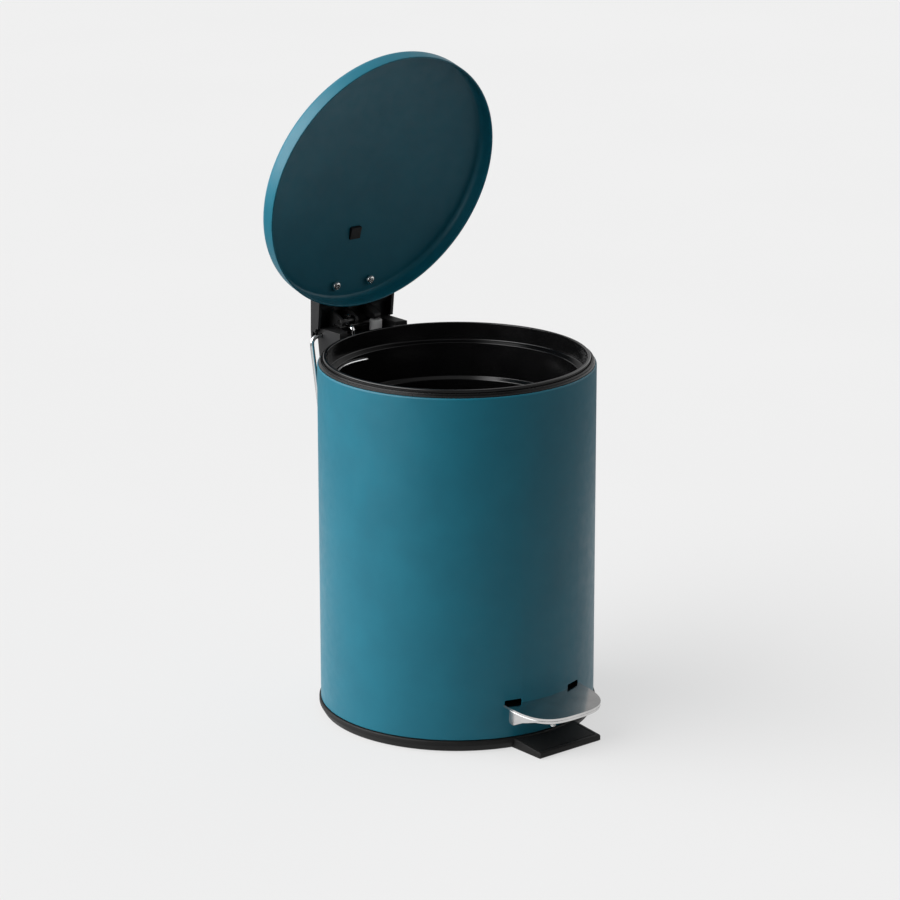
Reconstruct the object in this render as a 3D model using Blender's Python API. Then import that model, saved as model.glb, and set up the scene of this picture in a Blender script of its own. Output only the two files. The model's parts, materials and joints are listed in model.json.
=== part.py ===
"""Round three-litre pedal bin with an inner bucket, a lid worked by a pedal, and a carry handle.

Frame: metres, +Z up, origin on the floor on the tube's axis. The pedal is at -Y and the hinge at +Y.
The lid stands open, as with a foot on the pedal.
"""

import math

import bmesh
import bpy
from mathutils import Matrix, Vector

MM = 0.001
GAP = 0.3 * MM                      # between pieces that touch
ROUND = 60                          # sides of the large turned pieces
SMALL_ROUND = 16                    # sides of pins, screws and holes

# Body
BODY_RADIUS = 85.0 * MM
SHEET = 0.6 * MM
BODY_BOTTOM = 7.7 * MM
BODY_TOP = 221.0 * MM

# Base and toe
BASE_LIP_RADIUS = BODY_RADIUS + 1.1 * MM
BASE_FOOT_RADIUS = 83.8 * MM
BASE_CLEARANCE = 0.4 * MM           # underside of the ring above the floor
BASE_FLOOR_TOP = 4.4 * MM
BASE_SPIGOT_TOP = 15.0 * MM
TOE_HALF_WIDTH = 24.1 * MM
TOE_FRONT = 106.9 * MM
TOE_FRONT_HEIGHT = 4.3 * MM
TOE_BACK_HEIGHT = 7.4 * MM
CENTRE_BOSS_RADIUS = 14.0 * MM

# Top ring and bucket
COLLAR_OUTER = BODY_RADIUS - SHEET - GAP
COLLAR_INNER = 80.45 * MM
COLLAR_TOP = 223.3 * MM
COLLAR_LAND = (81.8 * MM, 83.3 * MM)  # flat top of the ring, inner and outer radius
COLLAR_LOW = 213.0 * MM
BUCKET_OPENING = 79.4 * MM
BUCKET_RIM_OUTER = 81.4 * MM
BUCKET_TOP = 225.2 * MM
BUCKET_SEAT = 221.9 * MM
BUCKET_WALL = 1.3 * MM
BUCKET_LEDGE_Z = 214.0 * MM
BUCKET_STEP_Z = 192.0 * MM
BUCKET_BOTTOM = 47.0 * MM
BUCKET_BOTTOM_RADIUS = 68.0 * MM
BAIL_PIVOT = Vector((-12.8 * MM, 0.0, 209.8 * MM))
BAIL_RADIUS = 72.9 * MM
BAIL_WIRE = 0.9 * MM
BAIL_TILT = math.radians(4.7)

# Lid, drawn closed about the hinge axis and then turned open
HINGE = Vector((0.0, 100.0 * MM, 224.5 * MM))
LID_OPEN_ANGLE = math.radians(73.4)
LID_RIM_Z = 222.3 * MM              # rim plane with the lid shut
LID_RADIUS = BODY_RADIUS
LID_SHEET = 0.6 * MM
LID_BAND = 6.6 * MM                 # straight part of the rim wall
LID_DEPTH = 21.9 * MM               # rim plane to the top of the dome
DOME_RADIUS = 322.0 * MM
SHOULDER = 3.2 * MM
SCREW_X = 13.5 * MM
SCREW_REACH = 74.9 * MM             # from the lid's centre towards the hinge
BOSS_REACH = 42.9 * MM
BOSS_SIDE = 7.8 * MM

# Hood and hinge base
HOOD_HALF_WIDTH = 30.0 * MM
HOOD_WALL = 2.0 * MM
CHEEK_OUTER = 26.9 * MM
CHEEK_INNER = 19.0 * MM
BACK_WALL_TOP = 219.8 * MM
BRACKET_TOP = 226.4 * MM
BRACKET_BOTTOM = 186.0 * MM
BRACKET_SCREW_X = (-22.5 * MM, 22.5 * MM)
BRACKET_SCREW_Z = 200.0 * MM
PIN_RADIUS = 1.5 * MM
PIN_HOLE = 1.85 * MM

# Lift linkage: the hook bar swings half above and half below the hinge's height
HOOK_ARM = 9.8 * MM
HOOK_BAR_RADIUS = 1.5 * MM
ROD_RADIUS = 1.25 * MM
ROD_X = -12.0 * MM
ROD_LOW_Y = 78.5 * MM
PLUNGER_X = 10.5 * MM
PLUNGER_RADIUS = 3.9 * MM
ROD_TRAVEL = 2.0 * HOOK_ARM * math.sin(LID_OPEN_ANGLE / 2.0)
WINDOW_LOW = 187.5 * MM             # opening in the shell for the rod
WINDOW_HIGH = 208.0 * MM

# Pedal and lever, drawn level about the pivot and then tilted down at the front
PIVOT = Vector((0.0, -56.0 * MM, 23.3 * MM))
PEDAL_TILT = math.radians(5.71)
PLATE_TOP = 8.0 * MM                # above the pivot
PLATE_THICK = 1.5 * MM
PLATE_HALF_WIDTH = 30.2 * MM
PLATE_REACH = 34.4 * MM             # from the tips to the front
PLATE_TIPS = -22.6 * MM             # tips' distance from the pivot
PLATE_POWER = 3.1                   # squareness of the plate's outline
RIM_DEPTH = 3.1 * MM
SKIRT_BACK = PLATE_TIPS - 6.0 * MM   # back end of the deep part of the rim
SKIRT_DEPTH = 10.0 * MM
ARM_INNER = 18.8 * MM
ARM_OUTER = 28.9 * MM
SLOT_TOP = 31.3 * MM
SLOT_BOTTOM = 26.6 * MM

# Carry handle
HANDLE_RADIUS = 1.35 * MM
HANDLE_HALF_WIDTH = 34.8 * MM
HANDLE_PIVOT = Vector((0.0, 99.8 * MM, 221.8 * MM))
HANDLE_DROP = 62.0 * MM


# ---------------------------------------------------------------- helpers

def clear_scene():
    for item in list(bpy.data.objects):
        bpy.data.objects.remove(item, do_unlink=True)


def material(name, colour, roughness, metallic=0.0):
    found = bpy.data.materials.get(name)
    if found:
        return found
    made = bpy.data.materials.new(name)
    made.use_nodes = True
    shader = made.node_tree.nodes["Principled BSDF"]
    shader.inputs["Base Color"].default_value = (*colour, 1.0)
    shader.inputs["Roughness"].default_value = roughness
    shader.inputs["Metallic"].default_value = metallic
    made.diffuse_color = (*colour, 1.0)
    return made


def petrol_paint():
    return material("petrol_paint", (0.012, 0.115, 0.165), 0.42)


def black_plastic():
    return material("black_plastic", (0.012, 0.012, 0.013), 0.38)


def black_moulding():
    return material("black_moulding", (0.02, 0.02, 0.021), 0.6)


def bright_steel():
    return material("bright_steel", (0.78, 0.78, 0.77), 0.16, 1.0)


def plain_steel():
    return material("plain_steel", (0.5, 0.5, 0.5), 0.4, 1.0)


def grey_plastic():
    return material("grey_plastic", (0.42, 0.42, 0.42), 0.45)


def soft_rubber():
    return material("soft_rubber", (0.03, 0.03, 0.03), 0.85)


def empty(name, place, turn_x=0.0, turn_y=0.0):
    made = bpy.data.objects.new(name, None)
    made.empty_display_size = 0.02
    made.location = place
    made.rotation_euler = (turn_x, turn_y, 0.0)
    bpy.context.scene.collection.objects.link(made)
    return made


def add(name, shape, finish, parent=None):
    """Turn a bmesh into an object, shaded smooth except at its sharp edges."""
    bmesh.ops.recalc_face_normals(shape, faces=shape.faces)
    mesh = bpy.data.meshes.new(name)
    shape.to_mesh(mesh)
    shape.free()
    mesh.shade_smooth()
    mesh.set_sharp_from_angle(angle=math.radians(32.0))
    made = bpy.data.objects.new(name, mesh)
    if finish:
        made.data.materials.append(finish)
    made.parent = parent
    bpy.context.scene.collection.objects.link(made)
    return made


def combine(target, tool, operation):
    """Cut or join with a hidden tool object."""
    tool.hide_render = True
    tool.display_type = "WIRE"
    step = target.modifiers.new(tool.name, "BOOLEAN")
    step.operation = operation
    step.solver = "EXACT"
    step.object = tool
    return step


def cut(target, tool):
    return combine(target, tool, "DIFFERENCE")


def join(target, tool):
    return combine(target, tool, "UNION")


def turned_shape(outline, sides=ROUND, centre=(0.0, 0.0)):
    """Turn a closed outline of (radius, height) points about a vertical axis."""
    shape = bmesh.new()
    rings = []
    for radius, height in outline:
        if radius < 1e-9:
            rings.append([shape.verts.new((centre[0], centre[1], height))])
            continue
        ring = []
        for i in range(sides):
            angle = 2.0 * math.pi * i / sides
            x = centre[0] + radius * math.cos(angle)
            y = centre[1] + radius * math.sin(angle)
            ring.append(shape.verts.new((x, y, height)))
        rings.append(ring)
    for k, first in enumerate(rings):
        second = rings[(k + 1) % len(rings)]
        if len(first) == 1 and len(second) == 1:
            continue
        for i in range(sides):
            j = (i + 1) % sides
            corners = [first[i % len(first)], first[j % len(first)]]
            corners += [second[j % len(second)], second[i % len(second)]]
            unique = list(dict.fromkeys(corners))
            shape.faces.new(unique)
    return shape


def prism_shape(outline, low, high, axis="X"):
    """Extrude a closed outline along an axis. The outline's points are (Y, Z) for X, (X, Y) for Z."""
    shape = bmesh.new()
    loops = []
    for level in (low, high):
        if axis == "X":
            loops.append([shape.verts.new((level, a, b)) for a, b in outline])
        elif axis == "Y":
            loops.append([shape.verts.new((a, level, b)) for a, b in outline])
        else:
            loops.append([shape.verts.new((a, b, level)) for a, b in outline])
    shape.faces.new(loops[0])
    shape.faces.new(loops[1])
    count = len(outline)
    for i in range(count):
        j = (i + 1) % count
        shape.faces.new((loops[0][i], loops[0][j], loops[1][j], loops[1][i]))
    return shape


def box_shape(low, high):
    corners = [(low[1], low[2]), (high[1], low[2]), (high[1], high[2]), (low[1], high[2])]
    return prism_shape(corners, low[0], high[0])


def cylinder_shape(radius, start, end, sides=SMALL_ROUND):
    """A plain round bar between two points."""
    start, end = Vector(start), Vector(end)
    along = end - start
    turn = along.to_track_quat("Z", "Y").to_matrix().to_4x4()
    shape = bmesh.new()
    place = Matrix.Translation((start + end) / 2.0) @ turn
    bmesh.ops.create_cone(
        shape, cap_ends=True, segments=sides, radius1=radius, radius2=radius,
        depth=along.length, matrix=place,
    )
    return shape


def arc(centre, radius, start, end, count):
    """Points on an arc, angles in degrees."""
    points = []
    for i in range(count):
        angle = math.radians(start + (end - start) * i / (count - 1))
        points.append((centre[0] + radius * math.cos(angle), centre[1] + radius * math.sin(angle)))
    return points


def rounded_path(corners, bend, steps=6):
    """A polyline whose inner corners are rounded to the given bend radius."""
    points = [Vector(corners[0])]
    for before, corner, after in zip(corners, corners[1:], corners[2:]):
        before, corner, after = Vector(before), Vector(corner), Vector(after)
        into, out = (corner - before).normalized(), (after - corner).normalized()
        turn = into.angle(out)
        reach = bend * math.tan(turn / 2.0)
        reach = min(reach, (corner - before).length * 0.49, (after - corner).length * 0.49)
        first, last = corner - into * reach, corner + out * reach
        for i in range(steps + 1):
            t = i / steps
            points.append(first * (1 - t) ** 2 + corner * 2 * t * (1 - t) + last * t ** 2)
    points.append(Vector(corners[-1]))
    return points


def wire(name, points, radius, finish, parent=None):
    """Round wire along a path, as a curve with filled ends."""
    curve = bpy.data.curves.new(name, "CURVE")
    curve.dimensions = "3D"
    curve.bevel_depth = radius
    curve.bevel_resolution = 2
    curve.use_fill_caps = True
    line = curve.splines.new("POLY")
    line.points.add(len(points) - 1)
    for slot, point in zip(line.points, points):
        slot.co = (*point, 1.0)
    curve.materials.append(finish)
    made = bpy.data.objects.new(name, curve)
    made.parent = parent
    bpy.context.scene.collection.objects.link(made)
    return made


def screw_shape(place, along, head_radius, head_height, shank_radius, length):
    """Pan-head screw with a cross recess; the head stands against the direction of the shank."""
    along = Vector(along).normalized()
    outline = [(0.0, 0.0), (head_radius * 0.55, 0.0), (head_radius * 0.9, head_height * 0.35),
               (head_radius, head_height), (shank_radius, head_height),
               (shank_radius, head_height + length), (0.0, head_height + length)]
    shape = turned_shape(outline, SMALL_ROUND)
    turn = along.to_track_quat("Z", "Y").to_matrix().to_4x4()
    bmesh.ops.transform(shape, matrix=Matrix.Translation(place) @ turn, verts=shape.verts)
    return shape


# ---------------------------------------------------------------- body, base, bucket

def make_body_shell():
    inner = BODY_RADIUS - SHEET
    outline = [(inner, BODY_BOTTOM), (BODY_RADIUS, BODY_BOTTOM), (BODY_RADIUS, BODY_TOP), (inner, BODY_TOP)]
    shell = add("body_shell", turned_shape(outline), petrol_paint())
    for side, name in ((-1, "left"), (1, "right")):
        ends = sorted((side * (ARM_INNER - 0.5 * MM), side * (ARM_OUTER + 0.5 * MM)))
        low = (ends[0], -BODY_RADIUS - 5 * MM, SLOT_BOTTOM)
        high = (ends[1], -BODY_RADIUS * 0.75, SLOT_TOP)
        cut(shell, add("slot_cutter_" + name, box_shape(low, high), None))
    low = (ROD_X - 3.5 * MM, BODY_RADIUS * 0.9, WINDOW_LOW)
    high = (ROD_X + 3.5 * MM, BODY_RADIUS * 1.1, WINDOW_HIGH)
    cut(shell, add("rod_window_cutter", box_shape(low, high), None))
    for x in BRACKET_SCREW_X:
        start, end = (x, BODY_RADIUS * 0.9, BRACKET_SCREW_Z), (x, BODY_RADIUS * 1.1, BRACKET_SCREW_Z)
        cut(shell, add("bracket_hole_cutter", cylinder_shape(2.1 * MM, start, end), None))
    return shell


def make_collar_ring():
    low, outer = COLLAR_LOW, COLLAR_OUTER
    land_inner, land_outer = COLLAR_LAND
    outline = [
        (COLLAR_INNER, low), (outer, low), (outer, COLLAR_TOP - 1.8 * MM),
        (land_outer + 0.2 * MM, COLLAR_TOP - 1.2 * MM), (land_outer, COLLAR_TOP),
        (land_inner, COLLAR_TOP), (land_inner - 0.05 * MM, BUCKET_SEAT),
        (COLLAR_INNER + 0.3 * MM, BUCKET_SEAT), (COLLAR_INNER, BUCKET_SEAT - 0.3 * MM),
    ]
    return add("collar_ring", turned_shape(outline), black_plastic())


def make_inner_bucket():
    """Turned bucket: rolled rim, ledge, step, tapered wall, flat bottom."""
    rim, top = BUCKET_OPENING, BUCKET_TOP
    ledge_in = 75.6 * MM
    step_in = 73.6 * MM
    wall = BUCKET_WALL
    bottom, floor_radius = BUCKET_BOTTOM, BUCKET_BOTTOM_RADIUS
    inside = [
        (0.0, bottom + 1.6 * MM), (floor_radius - 4.0 * MM, bottom + 1.6 * MM),
        (floor_radius - wall, bottom + 5.0 * MM), (step_in - 1.6 * MM, BUCKET_STEP_Z - 2.0 * MM),
        (step_in, BUCKET_STEP_Z), (ledge_in - 1.2 * MM, BUCKET_LEDGE_Z - 0.6 * MM),
        (rim - 1.0 * MM, BUCKET_LEDGE_Z), (rim, BUCKET_LEDGE_Z + 1.0 * MM), (rim, top - 0.7 * MM),
    ]
    rolled = [(rim + 0.5 * MM, top), (BUCKET_RIM_OUTER - 0.7 * MM, top), (BUCKET_RIM_OUTER, top - 0.6 * MM),
              (BUCKET_RIM_OUTER, BUCKET_SEAT + GAP), (rim + 0.75 * MM, BUCKET_SEAT + GAP)]
    outside = [
        (rim + 0.75 * MM, BUCKET_LEDGE_Z - 0.6 * MM), (ledge_in + 0.3 * MM, BUCKET_LEDGE_Z - wall - 0.4 * MM),
        (step_in + wall, BUCKET_STEP_Z - 1.0 * MM), (floor_radius, bottom + 4.0 * MM),
        (floor_radius - 4.0 * MM, bottom), (0.0, bottom),
    ]
    bucket = add("inner_bucket", turned_shape(inside + rolled + outside), black_plastic())
    start, end = BAIL_PIVOT - Vector((0.0, 90 * MM, 0.0)), BAIL_PIVOT + Vector((0.0, 90 * MM, 0.0))
    cut(bucket, add("bail_bore_cutter", cylinder_shape(BAIL_WIRE + GAP, start, end), None))
    return bucket


def make_bucket_bail(parent):
    """Curved wire folded to the left, its ends in the bucket's wall at the front and the back."""
    start = math.degrees(math.acos(BAIL_PIVOT.x / BAIL_RADIUS))
    steps = 24
    bend = [(x - BAIL_PIVOT.x, y) for x, y in arc((0.0, 0.0), BAIL_RADIUS, start, 360.0 - start, steps + 1)]
    reach = bend[0][1] + 2.5 * MM
    path = [(0.0, reach)] + bend + [(0.0, -reach)]
    points = [Vector((x, y, 0.0)) for x, y in path]
    return wire("bucket_bail", points, BAIL_WIRE, bright_steel(), parent)


def make_base():
    lip, foot, low = BASE_LIP_RADIUS, BASE_FOOT_RADIUS, BASE_CLEARANCE
    spigot = BODY_RADIUS - SHEET - GAP
    inner = spigot - 2.2 * MM
    outline = [
        (0.0, low), (foot - 0.6 * MM, low), (foot, low + 0.6 * MM), (lip, 4.6 * MM), (lip, 6.6 * MM),
        (lip - 0.7 * MM, 7.3 * MM), (spigot, 7.3 * MM), (spigot, BASE_SPIGOT_TOP),
        (inner, BASE_SPIGOT_TOP), (inner, BASE_FLOOR_TOP), (0.0, BASE_FLOOR_TOP),
    ]
    base = add("base", turned_shape(outline), black_moulding())
    join(base, add("toe_tool", toe_shape(), None))
    boss = cylinder_shape(CENTRE_BOSS_RADIUS, (0, 0, 0), (0, 0, BASE_FLOOR_TOP - 1 * MM), 48)
    join(base, add("centre_boss_tool", boss, None))
    for side, name in ((-1, "left"), (1, "right")):
        join(base, add("post_tool_" + name, pivot_post_shape(side), None))
    start, end = (-40 * MM, PIVOT.y, PIVOT.z), (40 * MM, PIVOT.y, PIVOT.z)
    cut(base, add("post_bore_cutter", cylinder_shape(2.3 * MM, start, end), None))
    for name, angle in pad_places():
        cut(base, add("pad_pocket_" + name, pad_shape(angle, 0.3 * MM, -1 * MM, 2.0 * MM), None))
    return base


def toe_shape():
    """Wedge that sticks out under the pedal, with a small step along its front."""
    back = -BODY_RADIUS * 0.88
    front = -TOE_FRONT
    low = BASE_CLEARANCE
    outline = [
        (back, low), (front + 1.0 * MM, low), (front, low + 0.8 * MM), (front, TOE_FRONT_HEIGHT - 0.9 * MM),
        (front + 0.9 * MM, TOE_FRONT_HEIGHT), (-BODY_RADIUS + 4 * MM, TOE_BACK_HEIGHT - 0.2 * MM),
        (back, TOE_BACK_HEIGHT - 0.2 * MM),
    ]
    return prism_shape(outline, -TOE_HALF_WIDTH, TOE_HALF_WIDTH)


def pivot_post_shape(side):
    """Post that holds one end of the pedal's pivot pin."""
    y, z, radius = PIVOT.y, PIVOT.z, 3.9 * MM
    top = arc((y, z), radius, 0.0, 180.0, 9)
    outline = [(y + 7 * MM, BASE_FLOOR_TOP - 1 * MM)] + top + [(y - 7 * MM, BASE_FLOOR_TOP - 1 * MM)]
    ends = sorted((side * 20.5 * MM, side * 26.6 * MM))
    return prism_shape(outline, ends[0], ends[1])


def pad_places():
    return (("front_left", 215.0), ("front_right", 325.0), ("rear_left", 145.0), ("rear_right", 35.0))


def pad_shape(angle, margin, low, high):
    """Curved pad: a length of a flat ring, centred on an angle in degrees."""
    half = 14.0 + math.degrees(margin / 0.077)
    inner, outer = 72.0 * MM - margin, 81.0 * MM + margin
    outline = arc((0, 0), outer, angle - half, angle + half, 9)
    outline += arc((0, 0), inner, angle + half, angle - half, 9)
    return prism_shape(outline, low, high, "Z")


def make_foot_pads():
    for name, angle in pad_places():
        add("foot_pad_" + name, pad_shape(angle, 0.0, 0.0, 1.7 * MM), soft_rubber())


# ---------------------------------------------------------------- lid

def lid_point(y, z):
    """Closed-lid world height and depth, as seen from the hinge axis."""
    return (y - HINGE.y, z - HINGE.z)


def dome_height(radius, offset=0.0):
    """Height of the dome's outer face above the rim plane at a distance from its centre."""
    centre = LID_DEPTH - DOME_RADIUS
    return centre + math.sqrt((DOME_RADIUS + offset) ** 2 - radius ** 2)


def lid_outline(offset):
    """Outer side of the lid's section from the rim to the centre, moved out by offset."""
    radius = LID_RADIUS + offset
    points = [(radius, LID_BAND)]
    edge = LID_RADIUS - SHOULDER
    top = dome_height(edge)
    for i in range(1, 4):
        angle = math.radians(90.0 * i / 4)
        x = edge + (SHOULDER + offset) * math.cos(angle)
        z = LID_BAND + (top - LID_BAND + offset) * math.sin(angle)
        points.append((x, z))
    for part in (1.0, 0.75, 0.5, 0.25):
        points.append((edge * part, dome_height(edge * part, offset)))
    points.append((0.0, dome_height(0.0, offset)))
    return points


def closed_lid(points):
    """Lid section points, from the lid's own centre and rim plane."""
    return [(r, z + LID_RIM_Z - HINGE.z) for r, z in points]


def make_lid(parent):
    outer = lid_outline(0.0)
    inner = lid_outline(-LID_SHEET)
    rim = [(LID_RADIUS - LID_SHEET - 0.5 * MM, 0.0), (LID_RADIUS - 0.4 * MM, 0.0), (LID_RADIUS, 0.4 * MM)]
    inside_rim = [(LID_RADIUS - LID_SHEET, 2.2 * MM), (LID_RADIUS - LID_SHEET - 0.5 * MM, 1.6 * MM)]
    outline = rim + outer + list(reversed(inner))[:-1] + inside_rim
    shape = turned_shape(closed_lid(outline), ROUND, (0.0, -HINGE.y))
    lid = add("lid_panel", shape, petrol_paint(), parent)
    for x in (-SCREW_X, SCREW_X):
        y, z = lid_point(SCREW_REACH, LID_RIM_Z)
        hole = cylinder_shape(2.1 * MM, (x, y, z), (x, y, z + 30 * MM))
        cut(lid, add("lid_screw_hole_cutter", hole, None, parent))
    y, z = lid_point(BOSS_REACH, LID_RIM_Z)
    half = BOSS_SIDE / 2.0 + GAP
    hole = box_shape((-half, y - half, z), (half, y + half, z + 30 * MM))
    cut(lid, add("lid_boss_hole_cutter", hole, None, parent))
    return lid


def make_lid_screws(parent):
    for name, x in (("left", -SCREW_X), ("right", SCREW_X)):
        y, _ = lid_point(SCREW_REACH, 0.0)
        reach = math.hypot(SCREW_REACH, SCREW_X)
        seat = LID_RIM_Z - HINGE.z + dome_height(reach) - LID_SHEET
        head_height = 1.9 * MM
        place = (x, y, seat - head_height - 0.9 * MM)
        shape = screw_shape(place, (0, 0, 1), 3.1 * MM, head_height, 1.5 * MM, 3.1 * MM)
        screw = add("lid_screw_" + name, shape, bright_steel(), parent)
        for k, (half_x, half_y) in enumerate(((2.0, 0.45), (0.45, 2.0))):
            low = (x - half_x * MM, y - half_y * MM, place[2] - 1 * MM)
            high = (x + half_x * MM, y + half_y * MM, place[2] + 1.0 * MM)
            cut(screw, add("recess_cutter_%s_%d" % (name, k), box_shape(low, high), None, parent))


def hood_side_outline():
    """Side view of the hood over the shut lid, from the hinge axis: top edge, front, then underside."""
    rim = LID_RIM_Z - HINGE.z
    edge = LID_RADIUS - HINGE.y
    under = 4.6 * MM
    points = [(1.6 * MM, 6.4 * MM), (-8.0 * MM, 9.0 * MM)]
    for y in (74.0, 64.0, 54.0, 44.0, 38.0):
        points.append((y * MM - HINGE.y, rim + dome_height(y * MM) + (3.0 if y > 40 else 2.6) * MM))
    front = 34.5 * MM
    points += [(front - HINGE.y, rim + dome_height(front) + 1.4 * MM)]
    points += [(front - HINGE.y, rim + dome_height(front) - 3.0 * MM)]
    points += [(60 * MM - HINGE.y, rim + dome_height(60 * MM) - 4.0 * MM)]
    points += [(edge + 0.6 * MM, rim + LID_BAND - 1.5 * MM), (-9.0 * MM, under + 1.6 * MM)]
    points += [(1.3 * MM, under - 0.1 * MM), (6.4 * MM, 2.9 * MM), (6.85 * MM, 4.4 * MM)]
    return points


def cheek_outline():
    """Side wall of the hood: from the lid's shoulder back to a notch round the hinge axis."""
    rim = LID_RIM_Z - HINGE.z
    edge = LID_RADIUS - HINGE.y
    notch = arc((0, 0), 2.0 * MM, 40.0, 188.0, 7)
    return [(-8.0 * MM, 8.6 * MM), (edge - 6 * MM, rim + 13.0 * MM), (edge - 7.5 * MM, rim + 5.6 * MM)] + \
        list(reversed(notch)) + [(1.6 * MM, 6.0 * MM)]


def make_lid_hood(parent):
    half = HOOD_HALF_WIDTH
    hood = add("lid_hood", prism_shape(hood_side_outline(), -half, half), black_moulding(), parent)
    for side, name in ((-1, "left"), (1, "right")):
        ends = sorted((side * (half - HOOD_WALL), side * half))
        join(hood, add("hood_cheek_tool_" + name, prism_shape(cheek_outline(), *ends), None, parent))
        corner = hood_corner_shape(side)
        cut(hood, add("hood_corner_cutter_" + name, corner, None, parent))
    lid_tool = turned_shape(closed_lid(lid_tool_outline()), ROUND, (0.0, -HINGE.y))
    cut(hood, add("hood_seat_cutter", lid_tool, None, parent))
    for name, low, high in lug_places():
        join(hood, add("hood_lug_tool_" + name, prism_shape(lug_outline(), low, high), None, parent))
    for name, low, high in rib_places():
        join(hood, add("hood_rib_tool_" + name, prism_shape(rib_outline(), low, high), None, parent))
    join(hood, add("hood_tab_tool", prism_shape(tab_outline(), 8.0 * MM, 13.0 * MM), None, parent))
    bore = cylinder_shape(PIN_HOLE, (-25 * MM, 0, 0), (25 * MM, 0, 0))
    cut(hood, add("hood_pin_bore_cutter", bore, None, parent))
    y, z = hook_bar_closed()
    bore = cylinder_shape(HOOK_BAR_RADIUS + GAP, (-18.6 * MM, y, z), (-5.4 * MM, y, z))
    cut(hood, add("hood_bar_bore_cutter", bore, None, parent))
    side = BOSS_SIDE / 2.0
    y, z = lid_point(BOSS_REACH, LID_RIM_Z)
    top = z + dome_height(BOSS_REACH)
    low, high = (-side, y - side, top - 2.0 * MM), (side, y + side, top + 1.5 * MM)
    join(hood, add("hood_boss_tool", box_shape(low, high), None, parent))
    for x in (-SCREW_X, SCREW_X):
        y, z = lid_point(SCREW_REACH, LID_RIM_Z)
        bore = cylinder_shape(1.8 * MM, (x, y, z), (x, y, z + dome_height(SCREW_REACH) + 1.9 * MM))
        cut(hood, add("hood_screw_bore_cutter", bore, None, parent))
    return hood


def lid_tool_outline():
    """Solid of the lid with a small gap round it, for seating the hood."""
    outer = lid_outline(GAP)
    return [(0.0, -1.0 * MM), (LID_RADIUS + GAP, -1.0 * MM)] + outer


def hood_corner_shape(side):
    """Cuts the hood's plan to a taper towards its front end."""
    half = HOOD_HALF_WIDTH
    outline = [
        (side * (half + 5 * MM), 30 * MM - HINGE.y), (side * 17.0 * MM, 30 * MM - HINGE.y),
        (side * 19.0 * MM, 37 * MM - HINGE.y), (side * 23.0 * MM, 42 * MM - HINGE.y),
        (side * (half + 0.01 * MM), 70 * MM - HINGE.y), (side * (half + 5 * MM), 74 * MM - HINGE.y),
    ]
    return prism_shape(outline, 0.0, 40 * MM, "Z")


def lug_places():
    return (("left", -18.4 * MM, -14.9 * MM), ("right", 14.9 * MM, 18.4 * MM))


def rib_places():
    return (("outer", -18.4 * MM, -16.6 * MM), ("inner", -7.4 * MM, -5.6 * MM))


def lug_outline():
    lower = arc((0, 0), 3.9 * MM, 200.0, 350.0, 9)
    return lower + [(3.9 * MM, 3.0 * MM), (1.4 * MM, 5.4 * MM), (-8.0 * MM, 7.6 * MM), (-6.0 * MM, 1.0 * MM)]


def hook_bar_closed():
    angle = LID_OPEN_ANGLE / 2.0
    return (-HOOK_ARM * math.cos(angle), -HOOK_ARM * math.sin(angle))


def rib_outline():
    y, z = hook_bar_closed()
    lower = arc((y, z), 3.0 * MM, 180.0, 360.0, 9)
    return lower + [(-3.6 * MM, 5.6 * MM), (-12.0 * MM, 8.2 * MM)]


def tab_outline():
    y, z = hook_bar_closed()
    lower = arc((y, z), 2.0 * MM, 180.0, 360.0, 9)
    return lower + [(-3.6 * MM, 5.6 * MM), (-12.0 * MM, 8.2 * MM)]


def make_hook_bar(parent):
    y, z = hook_bar_closed()
    shape = cylinder_shape(HOOK_BAR_RADIUS, (-18.2 * MM, y, z), (-5.8 * MM, y, z))
    return add("hook_bar", shape, plain_steel(), parent)


# ---------------------------------------------------------------- hinge base, damper, handle

def bracket_outline():
    """Side view of the hinge base; its top is rounded about the hinge axis."""
    rise = BRACKET_TOP - HINGE.z
    radius = 3.9 * MM
    start = math.degrees(math.asin(rise / radius))
    back = arc((HINGE.y, HINGE.z), radius, start, -5.0, 6)
    return [(78.0 * MM, BRACKET_BOTTOM), (78.0 * MM, BRACKET_TOP)] + back + [
        (103.2 * MM, 217.5 * MM), (102.2 * MM, 210.0 * MM), (99.3 * MM, BRACKET_BOTTOM),
    ]


def make_hinge_base():
    base = add("hinge_base", prism_shape(bracket_outline(), -CHEEK_OUTER, CHEEK_OUTER), black_moulding())
    body = cylinder_shape(BODY_RADIUS + GAP, (0, 0, 150 * MM), (0, 0, 250 * MM), 144)
    cut(base, add("bracket_body_cutter", body, None))
    low = (-CHEEK_INNER, 80 * MM, BRACKET_BOTTOM + 2.0 * MM)
    high = (CHEEK_INNER, 97.9 * MM, 240 * MM)
    cut(base, add("bracket_channel_cutter", box_shape(low, high), None))
    low, high = (-CHEEK_INNER, 90 * MM, BACK_WALL_TOP), (CHEEK_INNER, 115 * MM, 240 * MM)
    cut(base, add("bracket_notch_cutter", box_shape(low, high), None))
    start, end = (-21.8 * MM, HINGE.y, HINGE.z), (21.8 * MM, HINGE.y, HINGE.z)
    cut(base, add("bracket_bore_cutter", cylinder_shape(PIN_HOLE, start, end), None))
    for side, name in ((-1, "left"), (1, "right")):
        start, end = (side * 23.1 * MM, *HANDLE_PIVOT.yz), (side * 30 * MM, *HANDLE_PIVOT.yz)
        cut(base, add("handle_bore_" + name, cylinder_shape(HANDLE_RADIUS + GAP, start, end), None))
    for x in BRACKET_SCREW_X:
        start, end = (x, 78 * MM, BRACKET_SCREW_Z), (x, 93.0 * MM, BRACKET_SCREW_Z)
        cut(base, add("bracket_screw_bore", cylinder_shape(1.8 * MM, start, end), None))
    return base


def make_hinge_pin():
    start, end = (-21.5 * MM, HINGE.y, HINGE.z), (21.5 * MM, HINGE.y, HINGE.z)
    return add("hinge_pin", cylinder_shape(PIN_RADIUS, start, end), plain_steel())


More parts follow.
